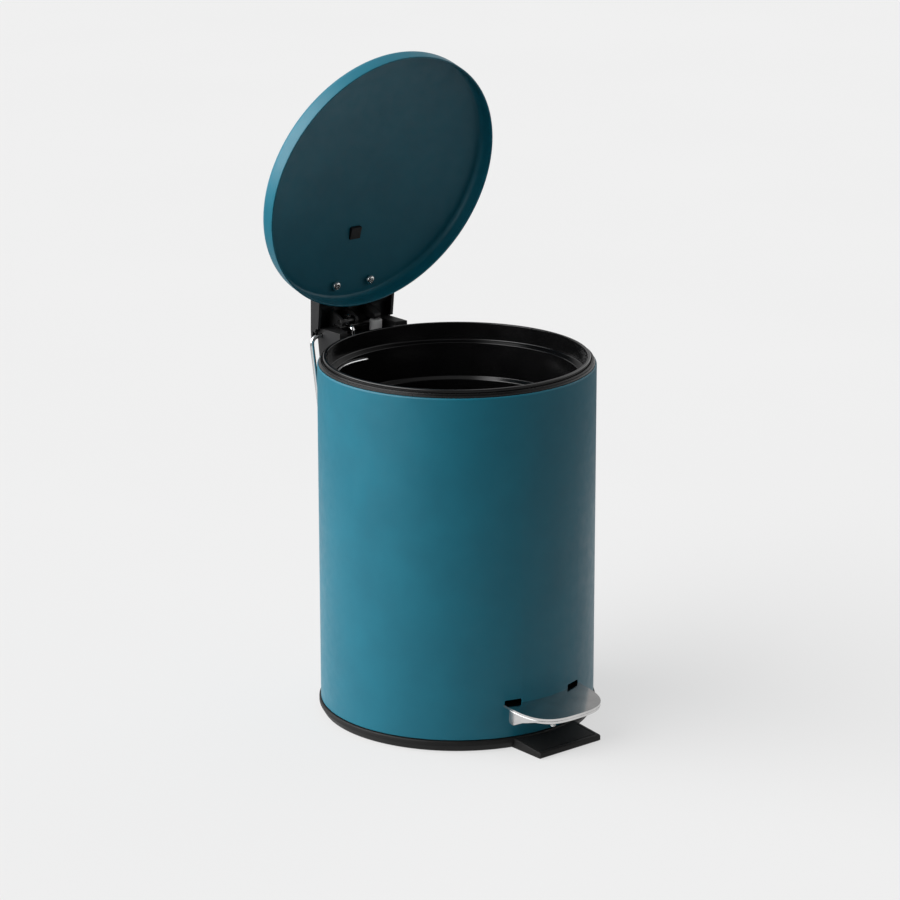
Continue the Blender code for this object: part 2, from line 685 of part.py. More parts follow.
def make_bracket_fasteners():
    """Backing strip on the shell's inside and two screws into the hinge base."""
    inner = BODY_RADIUS - SHEET - GAP
    outline = []
    for sign, radius in ((1, inner), (-1, inner - 1.0 * MM)):
        angles = [90.0 - sign * (-20.0 + 40.0 * i / 8) for i in range(9)]
        outline += [(radius * math.cos(math.radians(a)), radius * math.sin(math.radians(a))) for a in angles]
    low, high = BRACKET_SCREW_Z - 6 * MM, BRACKET_SCREW_Z + 11.5 * MM
    strip = add("backing_strip", prism_shape(outline, low, high, "Z"), plain_steel())
    window = box_shape((ROD_X - 3.5 * MM, 70 * MM, low - MM), (ROD_X + 3.5 * MM, 90 * MM, WINDOW_HIGH))
    cut(strip, add("strip_window_cutter", window, None))
    for name, x in zip(("left", "right"), BRACKET_SCREW_X):
        y = math.sqrt(inner ** 2 - x ** 2)
        start, end = (x, 70 * MM, BRACKET_SCREW_Z), (x, 90 * MM, BRACKET_SCREW_Z)
        cut(strip, add("strip_hole_" + name, cylinder_shape(1.9 * MM, start, end), None))
        place = (x, y - 3.8 * MM, BRACKET_SCREW_Z)
        shape = screw_shape(place, (0, 1, 0), 3.0 * MM, 1.5 * MM, 1.4 * MM, 12.0 * MM)
        add("bracket_screw_" + name, shape, plain_steel())


def plunger_centre():
    return (PLUNGER_X, HINGE.y - HOOK_ARM * math.cos(LID_OPEN_ANGLE / 2.0))


def plunger_top():
    """Just under the hood's tab with the lid open."""
    return HINGE.z + HOOK_ARM * math.sin(LID_OPEN_ANGLE / 2.0) - 2.0 * MM - 0.5 * MM


def make_damper():
    x, y = plunger_centre()
    top = plunger_top() - ROD_TRAVEL - 0.5 * MM
    low = BRACKET_BOTTOM + 2.3 * MM
    outer, bore = 5.3 * MM, PLUNGER_RADIUS + GAP
    floor = low + 1.2 * MM
    outline = [(0.0, low), (outer, low), (outer, top), (bore, top), (bore, floor), (0.0, floor)]
    add("damper_body", turned_shape(outline, 24, (x, y)), grey_plastic())


def make_plunger(parent):
    x, y = plunger_centre()
    top = plunger_top() - parent.location.z
    low = BRACKET_BOTTOM + 4.0 * MM + ROD_TRAVEL - parent.location.z
    radius, soft = PLUNGER_RADIUS, 0.5 * MM
    outline = [(0.0, low), (radius, low), (radius, top - soft), (radius - soft, top), (0.0, top)]
    shape = turned_shape(outline, 24, (x - parent.location.x, y - parent.location.y))
    add("damper_plunger", shape, grey_plastic(), parent)


def make_carry_handle(parent):
    """Wire bail that hangs from the hinge base's cheeks."""
    side, end, drop = HANDLE_HALF_WIDTH, 23.4 * MM, HANDLE_DROP
    taper = 8.0 * MM
    corners = [(-end, 0, 0), (-side, 0, 0), (-side + taper, 0, -drop)]
    corners += [(-x, y, z) for x, y, z in reversed(corners)]
    wire("carry_handle", rounded_path(corners, 6.0 * MM), HANDLE_RADIUS, bright_steel(), parent)


# ---------------------------------------------------------------- pedal and rod

def plate_outline(margin, back):
    """Half-moon: a squared half-ellipse in front of the tips, straight at the back."""
    width, reach = PLATE_HALF_WIDTH - margin, PLATE_REACH - margin
    points = [(width, back)]
    steps = 24
    for i in range(steps + 1):
        angle = math.pi * i / steps
        c, s = math.cos(angle), math.sin(angle)
        x = width * math.copysign(abs(c) ** (2.0 / PLATE_POWER), c)
        points.append((x, PLATE_TIPS - reach * abs(s) ** (2.0 / PLATE_POWER)))
    points.append((-width, back))
    clean = []
    for point in points:
        if not clean or math.dist(point, clean[-1]) > 0.2 * MM:
            clean.append(point)
    return clean


def make_pedal_plate(parent):
    top = PLATE_TOP
    outline = plate_outline(0.0, PLATE_TIPS + 1.0 * MM)
    shape = prism_shape(outline, top - SKIRT_DEPTH - 1.0 * MM, top, "Z")
    upper = [e for e in shape.edges if all(v.co.z > top - 0.1 * MM for v in e.verts)]
    bmesh.ops.bevel(shape, geom=upper, offset=0.9 * MM, segments=2, profile=0.5, affect="EDGES")
    plate = add("pedal_plate", shape, bright_steel(), parent)
    pocket = prism_shape(plate_outline(1.5 * MM, PLATE_TIPS + 8 * MM), top - 15 * MM, top - PLATE_THICK, "Z")
    cut(plate, add("pedal_pocket_cutter", pocket, None, parent))
    cut(plate, add("pedal_skirt_cutter", prism_shape(skirt_cut_outline(), -40 * MM, 40 * MM), None, parent))
    body = cylinder_shape(BODY_RADIUS + 0.5 * MM, (0, -PIVOT.y, -40 * MM), (0, -PIVOT.y, 40 * MM), 144)
    cut(plate, add("pedal_body_cutter", body, None, parent))
    for side, name in ((-1, "left"), (1, "right")):
        ends = sorted((side * ARM_INNER, side * ARM_OUTER))
        low = (ends[0], PLATE_TIPS - 9 * MM, top - PLATE_THICK)
        high = (ends[1], 5.0 * MM, top - 0.02 * MM)
        join(plate, add("pedal_arm_tool_" + name, box_shape(low, high), None, parent))
        ends = sorted((side * (ARM_OUTER - 1.5 * MM), side * (ARM_OUTER - 0.01 * MM)))
        join(plate, add("pedal_flange_tool_" + name, prism_shape(flange_outline(), *ends), None, parent))
        rivet = cylinder_shape(2.3 * MM, (side * 23 * MM, -9 * MM, 0), (side * 23 * MM, -9 * MM, 12 * MM))
        cut(plate, add("pedal_rivet_hole_" + name, rivet, None, parent))
    start, end = (-40 * MM, 0, 0), (40 * MM, 0, 0)
    cut(plate, add("pedal_bore_cutter", cylinder_shape(2.3 * MM, start, end), None, parent))
    return plate


def skirt_cut_outline():
    """Side view of what is cut from under the rim: it is deep at the back ends and shallow in front."""
    top, back, deep = PLATE_TOP, SKIRT_BACK, PLATE_TOP - SKIRT_DEPTH
    return [
        (10 * MM, top - PLATE_THICK + 0.05 * MM), (back, top - PLATE_THICK + 0.05 * MM),
        (back, deep + 1.6 * MM), (back - 1.6 * MM, deep + 0.5 * MM), (back - 4.0 * MM, deep),
        (back - 7.0 * MM, deep + 1.4 * MM), (back - 11.0 * MM, deep + 4.0 * MM),
        (back - 15.0 * MM, deep + 6.0 * MM), (back - 19.0 * MM, top - RIM_DEPTH),
        (-70 * MM, top - RIM_DEPTH), (-70 * MM, -20 * MM), (10 * MM, -20 * MM),
    ]


def flange_outline():
    """Side view of an arm's downturned flange inside the body, which carries the pivot."""
    top = PLATE_TOP - 0.4 * MM
    front = PLATE_TIPS + 2.4 * MM
    return [
        (front, top), (front, 2.0 * MM), (-13.0 * MM, -2.4 * MM), (-5 * MM, -4.4 * MM), (4.0 * MM, -4.4 * MM),
        (5.0 * MM, top),
    ]


def make_lever(parent):
    """Flat steel lever: a crosspiece under the pedal's arms, a long bar, and a wide end for the rod."""
    top = PLATE_TOP - PLATE_THICK - GAP
    half, wide, narrow = 26.8 * MM, 17.0 * MM, 9.0 * MM
    tail = arc((0, -PIVOT.y), BODY_RADIUS - SHEET - 0.7 * MM, 78.3, 101.7, 9)
    neck = tail[0][1] - 12 * MM
    outline = [(half, -13 * MM), (half, -4.6 * MM), (narrow + 4 * MM, -4.6 * MM), (narrow, 6 * MM)]
    outline += [(narrow, neck - 6 * MM), (wide, neck)] + tail + [(-wide, neck), (-narrow, neck - 6 * MM)]
    outline += [(-narrow, 6 * MM), (-narrow - 4 * MM, -4.6 * MM), (-half, -4.6 * MM), (-half, -13 * MM)]
    lever = add("pedal_lever", prism_shape(outline, top - 2.0 * MM, top, "Z"), plain_steel(), parent)
    y = ROD_LOW_Y - PIVOT.y
    slot = arc((ROD_X, y + 1.3 * MM), 1.8 * MM, 0.0, 180.0, 9) + arc((ROD_X, y), 1.8 * MM, 180.0, 360.0, 9)
    cut(lever, add("lever_slot_cutter", prism_shape(slot, 0.0, 12 * MM, "Z"), None, parent))
    for side, name in ((-1, "left"), (1, "right")):
        rivet = cylinder_shape(2.3 * MM, (side * 23 * MM, -9 * MM, 0), (side * 23 * MM, -9 * MM, 12 * MM))
        cut(lever, add("lever_rivet_hole_" + name, rivet, None, parent))
    return lever


def make_rivets(parent):
    top, low = PLATE_TOP + GAP, PLATE_TOP - PLATE_THICK - GAP - 2.0 * MM - GAP
    for side, name in ((-1, "left"), (1, "right")):
        outline = [(0.0, low - 1.0 * MM), (3.2 * MM, low - 1.0 * MM), (3.4 * MM, low), (2.0 * MM, low),
                   (2.0 * MM, top), (3.4 * MM, top), (2.6 * MM, top + 1.1 * MM), (0.0, top + 1.3 * MM)]
        shape = turned_shape(outline, SMALL_ROUND, (side * 23 * MM, -9 * MM))
        add("pedal_rivet_" + name, shape, plain_steel(), parent)


def make_pivot_pin():
    start, end = (-31.5 * MM, PIVOT.y, PIVOT.z), (31.5 * MM, PIVOT.y, PIVOT.z)
    add("pivot_pin", cylinder_shape(2.0 * MM, start, end), plain_steel())


def make_pedal_bumper(parent):
    front = PLATE_TIPS - PLATE_REACH
    low = PLATE_TOP - RIM_DEPTH - GAP
    foot, radius = low - 1.7 * MM, 1.6 * MM
    outline = [(0.0, foot), (radius - 0.4 * MM, foot), (radius, foot + 0.5 * MM), (radius, low), (0.0, low)]
    shape = turned_shape(outline, SMALL_ROUND, (-17.0 * MM, front + 3.4 * MM))
    add("pedal_bumper", shape, grey_plastic(), parent)


def make_lift_rod(parent):
    """Wire from the lever's end up the back, out through the shell's window, to a hook round the bar."""
    x = ROD_X
    bar_y = HINGE.y - HOOK_ARM * math.cos(LID_OPEN_ANGLE / 2.0)
    bar_z = HINGE.z + HOOK_ARM * math.sin(LID_OPEN_ANGLE / 2.0)
    swing = HOOK_ARM - HOOK_ARM * math.cos(LID_OPEN_ANGLE / 2.0)
    turn = HOOK_BAR_RADIUS + ROD_RADIUS + 0.45 * MM
    high_y = bar_y - swing - 3.2 * MM
    path = [(x, ROD_LOW_Y, 37.5 * MM), (x, ROD_LOW_Y, 199.0 * MM), (x, high_y, 209.0 * MM)]
    path += [(x, high_y, bar_z - turn), (x, bar_y, bar_z - turn)]
    points = rounded_path(path, 3.0 * MM, 5)[:-1]
    for a, b in arc((bar_y, bar_z), turn, 270.0, 450.0, 9):
        points.append(Vector((x, a, b)))
    points.append(Vector((x, bar_y - swing, bar_z + turn)))
    origin = parent.location
    rod = wire("lift_rod", [p - origin for p in points], ROD_RADIUS, bright_steel(), parent)
    return rod


def make_rod_collar(parent):
    """Crimped collar that the lever pushes up."""
    angle = PEDAL_TILT
    y = ROD_LOW_Y - PIVOT.y
    low = PIVOT.z + y * math.sin(angle) + (PLATE_TOP - PLATE_THICK) * math.cos(angle) + 0.9 * MM
    x, origin = ROD_X, parent.location
    outer, bore = 3.2 * MM, ROD_RADIUS + GAP
    outline = [(bore, low), (outer, low), (outer, low + 4 * MM), (bore, low + 4 * MM)]
    outline = [(r, z - origin.z) for r, z in outline]
    shape = turned_shape(outline, SMALL_ROUND, (x - origin.x, ROD_LOW_Y - origin.y))
    add("rod_collar", shape, plain_steel(), parent)


def make_rod_guide():
    """Plastic block on the shell's inside that keeps the rod upright."""
    low, high = 112.0 * MM, 122.0 * MM
    inner = BODY_RADIUS - SHEET - GAP
    middle = math.degrees(math.atan2(ROD_LOW_Y, ROD_X))
    outline = arc((0, 0), inner, middle - 5.5, middle + 5.5, 5)
    outline += arc((0, 0), 76.2 * MM, middle + 5.5, middle - 5.5, 5)
    guide = add("rod_guide", prism_shape(outline, low, high, "Z"), black_moulding())
    start, end = (ROD_X, ROD_LOW_Y, low - 5 * MM), (ROD_X, ROD_LOW_Y, high + 5 * MM)
    cut(guide, add("guide_bore_cutter", cylinder_shape(ROD_RADIUS + GAP, start, end), None))


# ---------------------------------------------------------------- assembly

def main():
    clear_scene()
    make_body_shell()
    make_collar_ring()
    make_inner_bucket()
    make_base()
    make_foot_pads()
    make_hinge_base()
    make_hinge_pin()
    make_bracket_fasteners()
    make_damper()
    make_pivot_pin()
    make_rod_guide()

    lid = empty("lid_axis", HINGE, -LID_OPEN_ANGLE)
    make_lid(lid)
    make_lid_hood(lid)
    make_lid_screws(lid)
    make_hook_bar(lid)

    pedal = empty("pedal_axis", PIVOT, PEDAL_TILT)
    make_pedal_plate(pedal)
    make_lever(pedal)
    make_rivets(pedal)
    make_pedal_bumper(pedal)

    rod = empty("rod_axis", (ROD_X, ROD_LOW_Y, 40.0 * MM))
    make_lift_rod(rod)
    make_rod_collar(rod)

    plunger = empty("plunger_axis", (*plunger_centre(), BRACKET_TOP))
    make_plunger(plunger)

    bail = empty("bail_axis", BAIL_PIVOT, turn_y=BAIL_TILT)
    make_bucket_bail(bail)

    handle = empty("handle_axis", HANDLE_PIVOT)
    make_carry_handle(handle)


main()
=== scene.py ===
"""Looks of the round pedal bin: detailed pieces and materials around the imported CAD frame.

Everything is in metres in the CAD's frame: +Z up, pedal at -Y, hinge at +Y, lid open.
"""

import json
import math

import bmesh
import bpy
from mathutils import Matrix, Vector


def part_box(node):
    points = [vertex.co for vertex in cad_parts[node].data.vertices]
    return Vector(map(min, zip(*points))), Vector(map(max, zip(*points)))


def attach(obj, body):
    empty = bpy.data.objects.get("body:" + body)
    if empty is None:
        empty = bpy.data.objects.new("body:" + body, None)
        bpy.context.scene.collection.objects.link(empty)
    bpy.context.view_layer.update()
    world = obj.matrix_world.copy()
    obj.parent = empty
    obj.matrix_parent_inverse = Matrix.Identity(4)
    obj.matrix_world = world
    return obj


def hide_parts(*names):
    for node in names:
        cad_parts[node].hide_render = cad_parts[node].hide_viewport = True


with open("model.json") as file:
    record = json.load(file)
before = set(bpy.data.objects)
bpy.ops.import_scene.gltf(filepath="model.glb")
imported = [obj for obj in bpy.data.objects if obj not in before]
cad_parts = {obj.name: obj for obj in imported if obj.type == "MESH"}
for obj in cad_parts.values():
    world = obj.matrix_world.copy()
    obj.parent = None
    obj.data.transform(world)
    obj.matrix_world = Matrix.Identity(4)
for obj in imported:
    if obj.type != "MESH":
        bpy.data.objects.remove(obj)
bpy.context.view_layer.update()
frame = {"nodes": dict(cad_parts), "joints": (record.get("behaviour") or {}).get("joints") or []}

MM = 0.001
FINE = 240                          # sides of the large turned pieces
MEDIUM = 48                         # sides of pins, screws and wire bends

# Sizes that the frame's boxes don't give
FLOOR_GLOW = 0.8714                 # brightness of the plain backdrop
SHEET = 0.6 * MM
GAP = 0.3 * MM
LID_BAND = 6.6 * MM
LID_SHOULDER = 3.2 * MM
LID_DEPTH = 21.9 * MM
DOME_RADIUS = 322.0 * MM
LID_HEM = 1.1 * MM
SCREW_REACH = 74.9 * MM
BOSS_REACH = 42.9 * MM
PEDAL_TILT = math.radians(5.71)
PLATE_TIPS = -22.6 * MM
PLATE_THICK = 1.5 * MM
PLATE_RIM = 3.1 * MM
SKIRT_DEPTH = 10.0 * MM
PLATE_POWER = 3.1
ARM_INNER = 18.8 * MM
ARM_OUTER = 28.9 * MM
PLATE_STEPS = 300                   # steps of the half-moon's outline
PIN_BORE = 2.3 * MM                 # radius of the holes round the pedal's pin and rivets
RIVET_X = 23.0 * MM
WELD = 0.02 * MM                    # how close points of the CAD mesh are welded
FLAT = math.radians(0.6)            # faces closer than this in angle become one
PAD_INNER = 72.0 * MM
PAD_OUTER = 81.0 * MM
PAD_MIDDLE = 77.0 * MM
PAD_HALF_ANGLE = 14.0               # degrees
FLOOR_SIZE = 30.0                   # half the floor's width in metres

# The view: a long lens from the front left, slightly above
LENS_MM = 139.82
SENSOR_MM = 36.0
CAMERA_PLACE = (-1.3151, -1.5754, 0.7707)
CAMERA_TURN = math.radians(-39.735)
CAMERA_LIFT = math.radians(16.448)
CAMERA_ROLL = math.radians(-0.085)

# Soft patches of light: direction, where each starts and is full (cosines), strength
LIGHT_PATCHES = (
    ((-0.85, 0.4, 0.42), 0.6, 0.95, 5.4),
    ((0.0, 0.1, 1.0), 0.55, 0.98, 0.35),
    ((-0.3, 0.95, 0.0), 0.5, 0.9, 0.45),
    ((0.62, 0.78, 0.05), -0.1, 0.75, 0.3),
    ((0.74, -0.66, 0.0), 0.7, 0.95, 0.9),
    ((0.98, 0.1, 0.1), 0.7, 0.95, 0.7),
)
AMBIENT = 0.04


# ---------------------------------------------------------------- the frame's places

def joint(name):
    return next(j for j in frame["joints"] if j["name"] == name)


HINGE = Vector(joint("lid_hinge")["pos_m"])
OPEN_ANGLE = math.radians(joint("lid_hinge")["range_deg"][1])
LID_FRAME = Matrix.Translation(HINGE) @ Matrix.Rotation(-OPEN_ANGLE, 4, "X")
PIVOT = Vector(joint("pedal_pivot")["pos_m"])
PEDAL_FRAME = Matrix.Translation(PIVOT) @ Matrix.Rotation(PEDAL_TILT, 4, "X")


def box_in(node, place):
    """A node's box in another frame."""
    back = place.inverted()
    points = [back @ v.co for v in frame["nodes"][node].data.vertices]
    low = Vector([min(p[k] for p in points) for k in range(3)])
    high = Vector([max(p[k] for p in points) for k in range(3)])
    return low, high


# ---------------------------------------------------------------- node materials

def new_material(name, colour, roughness, metallic=0.0):
    made = bpy.data.materials.new(name)
    made.use_nodes = True
    shader = made.node_tree.nodes["Principled BSDF"]
    shader.inputs["Base Color"].default_value = (*colour, 1.0)
    shader.inputs["Roughness"].default_value = roughness
    shader.inputs["Metallic"].default_value = metallic
    return made


def noise(made, scale, detail=3.0, stretch=(1.0, 1.0, 1.0)):
    """Noise over object coordinates; scale is in features per metre."""
    nodes, links = made.node_tree.nodes, made.node_tree.links
    place = nodes.new("ShaderNodeTexCoord")
    mapping = nodes.new("ShaderNodeMapping")
    mapping.inputs["Scale"].default_value = stretch
    texture = nodes.new("ShaderNodeTexNoise")
    texture.inputs["Scale"].default_value = scale
    texture.inputs["Detail"].default_value = detail
    links.new(place.outputs["Object"], mapping.inputs["Vector"])
    links.new(mapping.outputs["Vector"], texture.inputs["Vector"])
    return texture.outputs["Fac"]


def mapped(made, value, low, high, start=0.3, end=0.7):
    """A 0..1 value spread over a new range."""
    node = made.node_tree.nodes.new("ShaderNodeMapRange")
    node.inputs["From Min"].default_value = start
    node.inputs["From Max"].default_value = end
    node.inputs["To Min"].default_value = low
    node.inputs["To Max"].default_value = high
    made.node_tree.links.new(value, node.inputs["Value"])
    return node.outputs["Result"]


def tint(made, value, dark, light):
    """Colour between two close shades."""
    nodes, links = made.node_tree.nodes, made.node_tree.links
    mix = nodes.new("ShaderNodeMix")
    mix.data_type = "RGBA"
    mix.inputs[6].default_value = (*dark, 1.0)
    mix.inputs[7].default_value = (*light, 1.0)
    links.new(value, mix.inputs[0])
    links.new(mix.outputs[2], nodes["Principled BSDF"].inputs["Base Color"])


def roughen(made, value):
    made.node_tree.links.new(value, made.node_tree.nodes["Principled BSDF"].inputs["Roughness"])


def bump(made, value, height, strength=1.0, below=None):
    """Bump of a given height in metres; below chains a second bump under it."""
    nodes, links = made.node_tree.nodes, made.node_tree.links
    node = nodes.new("ShaderNodeBump")
    node.inputs["Distance"].default_value = height
    node.inputs["Strength"].default_value = strength
    links.new(value, node.inputs["Height"])
    if below is not None:
        links.new(below, node.inputs["Normal"])
    links.new(node.outputs["Normal"], nodes["Principled BSDF"].inputs["Normal"])
    return node.outputs["Normal"]


def paint(name, dark, light, roughness, peel):
    """Satin powder coat: fine orange peel, faint cloudiness, uneven gloss."""
    made = new_material(name, light, roughness)
    made.node_tree.nodes["Principled BSDF"].inputs["Specular IOR Level"].default_value = 0.35
    cloud = noise(made, 38.0, 4.0)
    tint(made, mapped(made, cloud, 0.0, 1.0), dark, light)
    roughen(made, mapped(made, noise(made, 160.0, 5.0), roughness - 0.04, roughness + 0.05))
    coarse = bump(made, noise(made, 900.0, 2.0), peel, 0.5)
    bump(made, noise(made, 3600.0, 2.0), peel * 0.35, 0.4, coarse)
    return made


def plastic(name, dark, light, roughness, grain_scale, grain_height, specular=0.5):
    """Moulded plastic with a fine surface grain."""
    made = new_material(name, light, roughness)
    made.node_tree.nodes["Principled BSDF"].inputs["Specular IOR Level"].default_value = specular
    tint(made, mapped(made, noise(made, 60.0, 3.0), 0.0, 1.0), dark, light)
    roughen(made, mapped(made, noise(made, 110.0, 3.0), roughness - 0.02, roughness + 0.04))
    bump(made, noise(made, grain_scale, 3.0), grain_height, 0.6)
    return made


def metal(name, dark, light, roughness, stretch, scratch):
    """Steel with fine lines along one direction and a little uneven gloss."""
    made = new_material(name, light, roughness, 1.0)
    tint(made, mapped(made, noise(made, 90.0, 3.0), 0.0, 1.0), dark, light)
    lines = noise(made, 700.0, 5.0, stretch)
    roughen(made, mapped(made, lines, roughness * 0.75, roughness * 1.35))
    bump(made, lines, scratch, 0.35)
    return made


PAINT = paint("petrol_powder_coat", (0.0035, 0.112, 0.165), (0.0045, 0.128, 0.186), 0.42, 0.012 * MM)
# A darker copy of the petrol paint: painted shade for the shadowed inside of the lid. No piece uses it.
PAINT_SHADED_COPY = paint("petrol_painted_shade", (0.006, 0.075, 0.105), (0.008, 0.085, 0.118), 0.46, 0.012 * MM)
GLOSS_BLACK = plastic(
    "bucket_black", (0.003, 0.003, 0.0032), (0.0045, 0.0045, 0.0048), 0.15, 700.0, 0.003 * MM)
RING_BLACK = plastic(
    "ring_black", (0.003, 0.003, 0.003), (0.005, 0.0048, 0.0048), 0.26, 1200.0, 0.001 * MM, 0.3)
MATTE_BLACK = plastic(
    "moulded_black", (0.008, 0.008, 0.0085), (0.012, 0.012, 0.0125), 0.5, 2600.0, 0.02 * MM, 0.3)
GREY = plastic("damper_grey", (0.46, 0.46, 0.46), (0.54, 0.54, 0.54), 0.45, 1500.0, 0.008 * MM)
CLEAR_GREY = plastic("bumper_grey", (0.55, 0.56, 0.56), (0.64, 0.65, 0.65), 0.35, 1500.0, 0.006 * MM)
BASE_BLACK = plastic("base_black", (0.006, 0.006, 0.006), (0.009, 0.009, 0.009), 0.5, 2600.0, 0.02 * MM, 0.18)
RUBBER = plastic("foot_rubber", (0.014, 0.014, 0.014), (0.024, 0.024, 0.024), 0.82, 1800.0, 0.03 * MM)
CHROME = metal("polished_steel", (0.74, 0.75, 0.75), (0.83, 0.83, 0.82), 0.14, (1.0, 0.15, 1.0), 0.0006 * MM)
PLATE_STEEL = metal(
    "plate_steel", (0.6, 0.595, 0.59), (0.7, 0.69, 0.685), 0.14, (1.0, 0.15, 1.0), 0.0002 * MM)
WIRE = metal("bright_wire", (0.68, 0.69, 0.7), (0.8, 0.8, 0.8), 0.14, (1.0, 1.0, 0.1), 0.003 * MM)
ZINC = metal("zinc_steel", (0.42, 0.42, 0.4), (0.56, 0.56, 0.54), 0.36, (0.2, 1.0, 1.0), 0.008 * MM)
DARK_STEEL = metal("oiled_steel", (0.05, 0.05, 0.05), (0.09, 0.09, 0.09), 0.4, (0.2, 1.0, 1.0), 0.006 * MM)


# ---------------------------------------------------------------- mesh tools

def finish_piece(name, shape, finish, body, nodes, place=None, sharp=35.0):
    """Makes an object of a bmesh, puts it on its body and hides the CAD nodes it stands for."""
    bmesh.ops.recalc_face_normals(shape, faces=shape.faces)
    if place is not None:
        bmesh.ops.transform(shape, matrix=place, verts=shape.verts)
    part_at_edges(shape, sharp)
    mesh = bpy.data.meshes.new(name)
    shape.to_mesh(mesh)
    shape.free()
    made = bpy.data.objects.new(name, mesh)
    bpy.context.scene.collection.objects.link(made)
    mesh.materials.append(finish)
    mesh.shade_smooth()
    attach(made, body)
    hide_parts(*nodes)
    return made


def part_at_edges(shape, sharp):
    """Splits a bmesh along its sharp edges, so that the shading of flat faces stays flat."""
    limit = math.radians(sharp)
    edges = [e for e in shape.edges if len(e.link_faces) == 2 and e.calc_face_angle() > limit]
    bmesh.ops.split_edges(shape, edges=edges)


def scratch_object(shape):
    """A bmesh as a linked object for use in a modifier."""
    bmesh.ops.recalc_face_normals(shape, faces=shape.faces)
    mesh = bpy.data.meshes.new("scratch")
    shape.to_mesh(mesh)
    shape.free()
    made = bpy.data.objects.new("scratch", mesh)
    bpy.context.scene.collection.objects.link(made)
    return made


def applied(made):
    """The object's mesh with its modifiers, as a bmesh; the object goes."""
    bpy.context.view_layer.update()
    evaluated = made.evaluated_get(bpy.context.evaluated_depsgraph_get())
    mesh = bpy.data.meshes.new_from_object(evaluated)
    shape = bmesh.new()
    shape.from_mesh(mesh)
    bpy.data.meshes.remove(mesh)
    bpy.data.objects.remove(made, do_unlink=True)
    return shape


def boolean(shape, tools, operation="DIFFERENCE"):
    """Cuts or joins bmeshes, and returns the result as a bmesh."""
    target = scratch_object(shape)
    others = [scratch_object(tool) for tool in tools]
    for other in others:
        step = target.modifiers.new("step", "BOOLEAN")
        step.operation = operation
        step.solver = "EXACT"
        step.object = other
    result = applied(target)
    for other in others:
        bpy.data.objects.remove(other, do_unlink=True)
    return result


def bevelled(shape, width, segments=2, angle=32.0):
    """Rounds the sharp edges of a bmesh."""
    target = scratch_object(shape)
    step = target.modifiers.new("bevel", "BEVEL")
    step.width = width
    step.segments = segments
    step.limit_method = "ANGLE"
    step.angle_limit = math.radians(angle)
    step.use_clamp_overlap = True
    return applied(target)


def node_shape(node):
    """A CAD node's mesh as a clean bmesh: welded, with its flat faces whole."""
    source = frame["nodes"][node].data
    shape = bmesh.new()
    verts = [shape.verts.new(v.co) for v in source.vertices]
    for polygon in source.polygons:
        try:
            shape.faces.new([verts[i] for i in polygon.vertices])
        except ValueError:
            continue
    bmesh.ops.remove_doubles(shape, verts=shape.verts, dist=WELD)
    bmesh.ops.dissolve_limit(shape, angle_limit=FLAT, verts=shape.verts, edges=shape.edges)
    return shape


def arc(centre, radius, start, end, count):
    points = []
    for i in range(count):
        angle = math.radians(start + (end - start) * i / (count - 1))
        points.append((centre[0] + radius * math.cos(angle), centre[1] + radius * math.sin(angle)))
    return points


def soften(corners, steps=5):
    """A closed outline from (a, b, radius) corners, each rounded to its radius."""
    points = []
    count = len(corners)
    for i, (a, b, radius) in enumerate(corners):
        here = Vector((a, b))
        if radius <= 0.0:
            points.append((a, b))
            continue
        before = Vector(corners[i - 1][:2]) - here
        after = Vector(corners[(i + 1) % count][:2]) - here
        half = before.angle(after) / 2.0
        reach = min(radius / math.tan(half), before.length * 0.49, after.length * 0.49)
        first, last = here + before.normalized() * reach, here + after.normalized() * reach
        for k in range(steps + 1):
            t = k / steps
            point = first * (1 - t) ** 2 + here * 2 * t * (1 - t) + last * t ** 2
            points.append((point.x, point.y))
    return points


def turned(outline, sides=FINE, centre=(0.0, 0.0)):
    """Turns a closed outline of (radius, height) points about a vertical axis."""
    shape = bmesh.new()
    rings = []
    for radius, height in outline:
        if radius < 1e-9:
            rings.append([shape.verts.new((centre[0], centre[1], height))])
            continue
        ring = []
        for i in range(sides):
            angle = 2.0 * math.pi * i / sides
            x, y = centre[0] + radius * math.cos(angle), centre[1] + radius * math.sin(angle)
            ring.append(shape.verts.new((x, y, height)))
        rings.append(ring)
    for k, first in enumerate(rings):
        second = rings[(k + 1) % len(rings)]
        if len(first) == 1 and len(second) == 1:
            continue
        for i in range(sides):
            j = (i + 1) % sides
            corners = [first[i % len(first)], first[j % len(first)]]
            corners += [second[j % len(second)], second[i % len(second)]]
            shape.faces.new(list(dict.fromkeys(corners)))
    return shape


def prism(outline, low, high, axis="Z"):
    """Extrudes a closed outline along an axis."""
    make = {
        "X": lambda level, a, b: (level, a, b),
        "Y": lambda level, a, b: (a, level, b),
        "Z": lambda level, a, b: (a, b, level),
    }[axis]
    shape = bmesh.new()
    loops = [[shape.verts.new(make(level, a, b)) for a, b in outline] for level in (low, high)]
    shape.faces.new(loops[0])
    shape.faces.new(loops[1])
    for i in range(len(outline)):
        j = (i + 1) % len(outline)
        shape.faces.new((loops[0][i], loops[0][j], loops[1][j], loops[1][i]))
    return shape


def rod_shape(radius, start, end, sides=MEDIUM, soft=0.0):
    """Round bar between two points, its ends softened."""
    start, end = Vector(start), Vector(end)
    length = (end - start).length
    corners = [(0.0, 0.0, 0.0), (radius, 0.0, soft), (radius, length, soft), (0.0, length, 0.0)]
    shape = turned(soften(corners, 3), sides)
    turn = (end - start).to_track_quat("Z", "Y").to_matrix().to_4x4()
    bmesh.ops.transform(shape, matrix=Matrix.Translation(start) @ turn, verts=shape.verts)
    return shape


